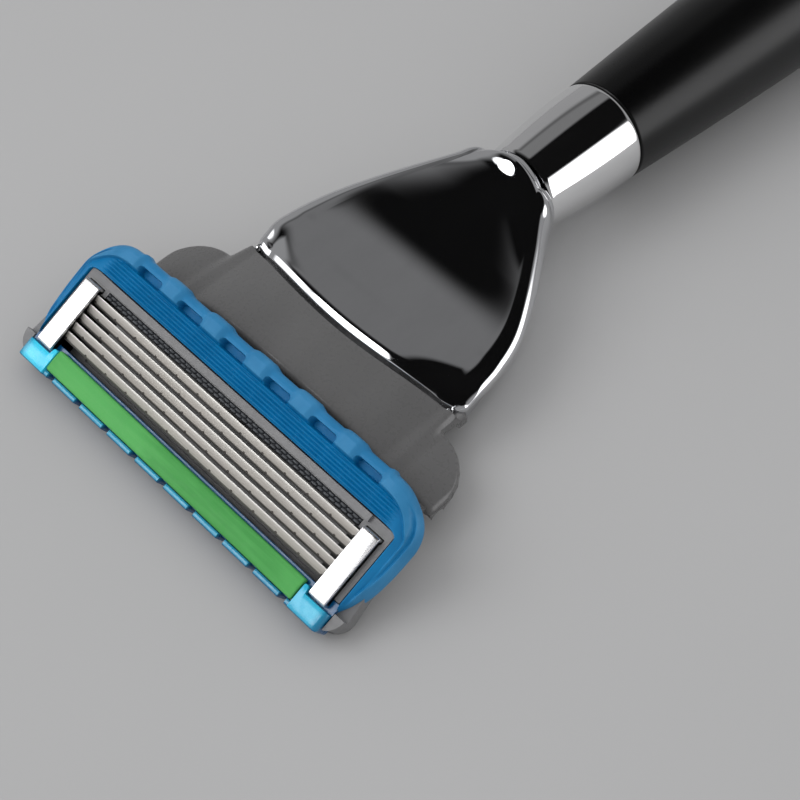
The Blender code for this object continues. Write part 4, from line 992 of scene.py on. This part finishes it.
def butt_cap():
    """The end cap: straight, then a quarter ellipse down to its flat butt, with a fine groove."""
    low, high = span("end_cap")
    length = high[1] - low[1]
    flat, full, drop, bore, depth, axis = 4.4, 5.8, 3.5, 3.5, 6.5, 0.0008
    turn = np.linspace(0, math.pi / 2, 26)
    dome = np.stack([flat + (full - flat) * np.cos(turn), high[1] - drop * (1 - np.sin(turn))], axis=-1)
    straight = np.linspace(0, length - drop, 60)
    groove = 0.14 * np.exp(-(((straight - 1.6) / 0.16) ** 2))
    wall = np.stack([full - groove - fall(straight, 0.15), low[1] + straight], axis=-1)
    butt = [(2.0, high[1]), (axis, high[1]), (axis, low[1] + depth), (bore, low[1] + depth), (bore, low[1])]
    turned("butt_cap", np.concatenate([wall, dome[1:], butt]), HANDLE_Z, "handle", COLLAR,
           "collar_chrome", stands_for=("end_cap",), segments=160)


def spring(name, node, joint, wire, turns):
    """A coil spring: a small circle carried along a helix, with its last turns closed up."""
    low, high = span(node)
    radius = (high[0] - low[0]) / 2 - wire
    centre = (low + high) / 2
    count = int(turns * 28)
    t = np.linspace(0, 1, count)
    pace = np.clip(mix(-0.05, 1.05, t), 0, 1)
    angle = 2 * math.pi * turns * t
    y = mix(low[1] + wire, high[1] - wire, pace)
    line = xyz(centre[0] + radius * np.cos(angle), y, centre[2] + radius * np.sin(angle))
    tangent = np.gradient(line, axis=0)
    tangent /= np.linalg.norm(tangent, axis=1, keepdims=True)
    out = xyz(np.cos(angle), 0 * angle, np.sin(angle))
    side = np.cross(tangent, out)
    around = np.linspace(0, 2 * math.pi, 10, endpoint=False)[None, :, None]
    sections = line[:, None] + wire * (np.cos(around) * out[:, None] + np.sin(around) * side[:, None])
    made = loft(name, sections, "handle", STEEL, "inner_steel", stands_for=(node,))
    travel = JOINTS[joint]["range_m"][1] / MM
    1 - travel / (high[1] - low[1])
    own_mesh(made)


def housing_frame():
    """The CAD housing with soft edges, its sides drawn in towards the guard, whose arms cover them."""
    made = softened("housing_frame", "cartridge_housing", 0.07, "cartridge", HOUSING, "housing_plastic")
    side, corner = 20.5, -3.0

    def drawn_in(points):
        across = (points - HINGE) @ ACROSS + HINGE_V
        wall = (np.abs(points[:, 0]) > side) & (across > corner)
        points[wall, 0] = np.sign(points[wall, 0]) * side
        return points

    reshaped(made.data, drawn_in)


def carried_over():
    """The CAD nodes that stay as they are, each in its own finish, and those whose edges are softened."""
    supports = (f"blade_support_{k}" for k in range(1, 6))
    looks = {
        STEEL: ("core_rod", "counterweight", "lock_washer", "spring_retainer", "pivot_pin_left",
                "pivot_pin_right", "ejector_fork", *supports),
        INNER: ("rear_bush", "plunger"),
        CLIP: ("trimmer_blade",),
    }
    for look, names in looks.items():
        for name in names:
            node = frame["nodes"][name]
            node.data.materials.clear()
            node.data.materials.append(look)
    housing_frame()
    softened("nose_block", "dock_nose", 0.2, "handle", INNER, "inner_plastic")
    softened("release_pad", "release_button", 0.12, "button", INNER, "inner_plastic")
    softened("lock_nut_hex", "lock_nut", 0.2, "handle", STEEL, "inner_steel")
    softened("tray_screw_left", "head_screw_left", 0.06, "handle", STEEL, "inner_steel")
    softened("tray_screw_right", "head_screw_right", 0.06, "handle", STEEL, "inner_steel")


# ---------------------------------------------------------------- studio


def studio():
    """A pale floor with the faintest mottle."""
    mesh = bpy.data.meshes.new("floor")
    size = 4.0
    corners = [(-size, -size, 0), (size, -size, 0), (size, size, 0), (-size, size, 0)]
    mesh.from_pydata(corners, [], [(0, 1, 2, 3)])
    floor = bpy.data.objects.new("floor", mesh)
    bpy.context.scene.collection.objects.link(floor)

    def build(r):
        cloud = r.noise(8, 4)
        paper = r.noise(900, 2)
        shade = r.blend(r.band(cloud, 0.3, 0.7), (0.425, 0.425, 0.425), (0.445, 0.445, 0.445))
        fibre = r.bump(paper, 0.004, 0.2)
        return {"Base Color": shade, "Roughness": 0.6, "Specular IOR Level": 0.2, "Normal": fibre}

    mesh.materials.append(finish("studio_floor", build))


def surroundings():
    """Even light for matte surfaces; for mirrors a dark room with pale walls and soft panels.

    A panel is a round patch of a direction and two angles, full inside the first and gone past the
    second. A strip is a patch along the great circle between two directions.
    """
    world = bpy.data.worlds.new("studio")
    bpy.context.scene.world = world
    world.use_nodes = True
    r = Recipe(world.node_tree)
    way = r.add("TexCoord", output="Generated")
    height = r.add("SeparateXYZ", None, {0: way}, "Z")

    def panel(direction, tight, wide, level):
        near = r.toward(way, direction)
        return r.band(near, math.cos(math.radians(wide)), math.cos(math.radians(tight)), 0.0, level)

    def strip(start, end, tight, wide, level):
        start, end = (np.array(spot) / np.linalg.norm(spot) for spot in (start, end))
        middle = (start + end) / np.linalg.norm(start + end)
        off = r.toward(way, np.cross(start, end))
        near, far = (math.sin(math.radians(angle)) ** 2 for angle in (tight, wide))
        off = r.band(off * off, near, far, level, 0.0)
        reach = float(start @ middle)
        return off * r.band(r.toward(way, middle), reach - 0.03, reach + 0.03)

    depth = r.add("SeparateXYZ", None, {0: way}, "Y")
    low = r.band(height, 0.46, 0.66, 0.34, 0.0)
    across = r.add("SeparateXYZ", None, {0: way}, "X")
    wall = r.band(height, 0.57, 0.67) * r.band(depth, -0.20, 0.30, 0.0, 0.2)
    wall = wall * r.band(across, -0.30, -0.20, 1.0, 0.0)
    key = panel((-0.40, -0.60, 0.69), 11, 14, 5.0)
    window = panel((0.86, 0.42, 0.16), 27, 33, 2.2)
    side = strip((-0.58, -0.54, 0.61), (-0.96, -0.2, 0.2), 5, 9, 2.5)
    front = panel((-0.40, -0.88, 0.24), 14, 34, 0.5)
    gloss = low + wall + key + side + window + front + 0.005
    glossy = r.add("LightPath", None, None, "Is Glossy Ray")
    level = glossy * gloss + (1 - glossy) * 0.80
    colour = r.add("CombineColor", None, {0: level, 1: level, 2: level * 1.012})
    sky = r.add("Background", None, {"Color": colour, "Strength": 1.0})
    r.add("OutputWorld", None, {"Surface": sky})


def lamp(name, place, aim, size, power):
    """A square soft light at a place, turned to face a point and left out of reflections."""
    data = bpy.data.lights.new(name, "AREA")
    data.size = size
    data.energy = power
    made = bpy.data.objects.new(name, data)
    bpy.context.scene.collection.objects.link(made)
    made.location = place
    made.rotation_euler = (Vector(aim) - Vector(place)).to_track_quat("-Z", "Y").to_euler()
    made.visible_glossy = False


def camera():
    """The camera over the cartridge's front right, looking down and back along the handle."""
    data = bpy.data.cameras.new("camera")
    data.lens = 77.44
    data.sensor_width = 36.0
    data.clip_start = 0.01
    made = bpy.data.objects.new("camera", data)
    bpy.context.scene.collection.objects.link(made)
    right, up = (0.69859, 0.71450, 0.03825), (-0.59042, 0.54542, 0.59492)
    back = (0.40420, -0.43819, 0.80287)
    turn = Matrix((right, up, back)).transposed().to_4x4()
    made.matrix_world = Matrix.Translation((0.070696, -0.121400, 0.127498)) @ turn
    bpy.context.scene.camera = made


guard()
comb()
blades()
clips()
cap_rail()
green_strip()
shield()
tray()
yoke()
collar()
grip()
butt_cap()
spring("plunger_coil", "plunger_spring", "plunger_slide", 0.16, 6)
spring("button_coil", "button_spring", "button_slide", 0.14, 5)
carried_over()
studio()
surroundings()
lamp("soft_key", (-0.35, -0.35, 0.6), (0, -0.03, 0), 0.5, 1.6)
camera()
bpy.context.scene.view_settings.view_transform = "Standard"
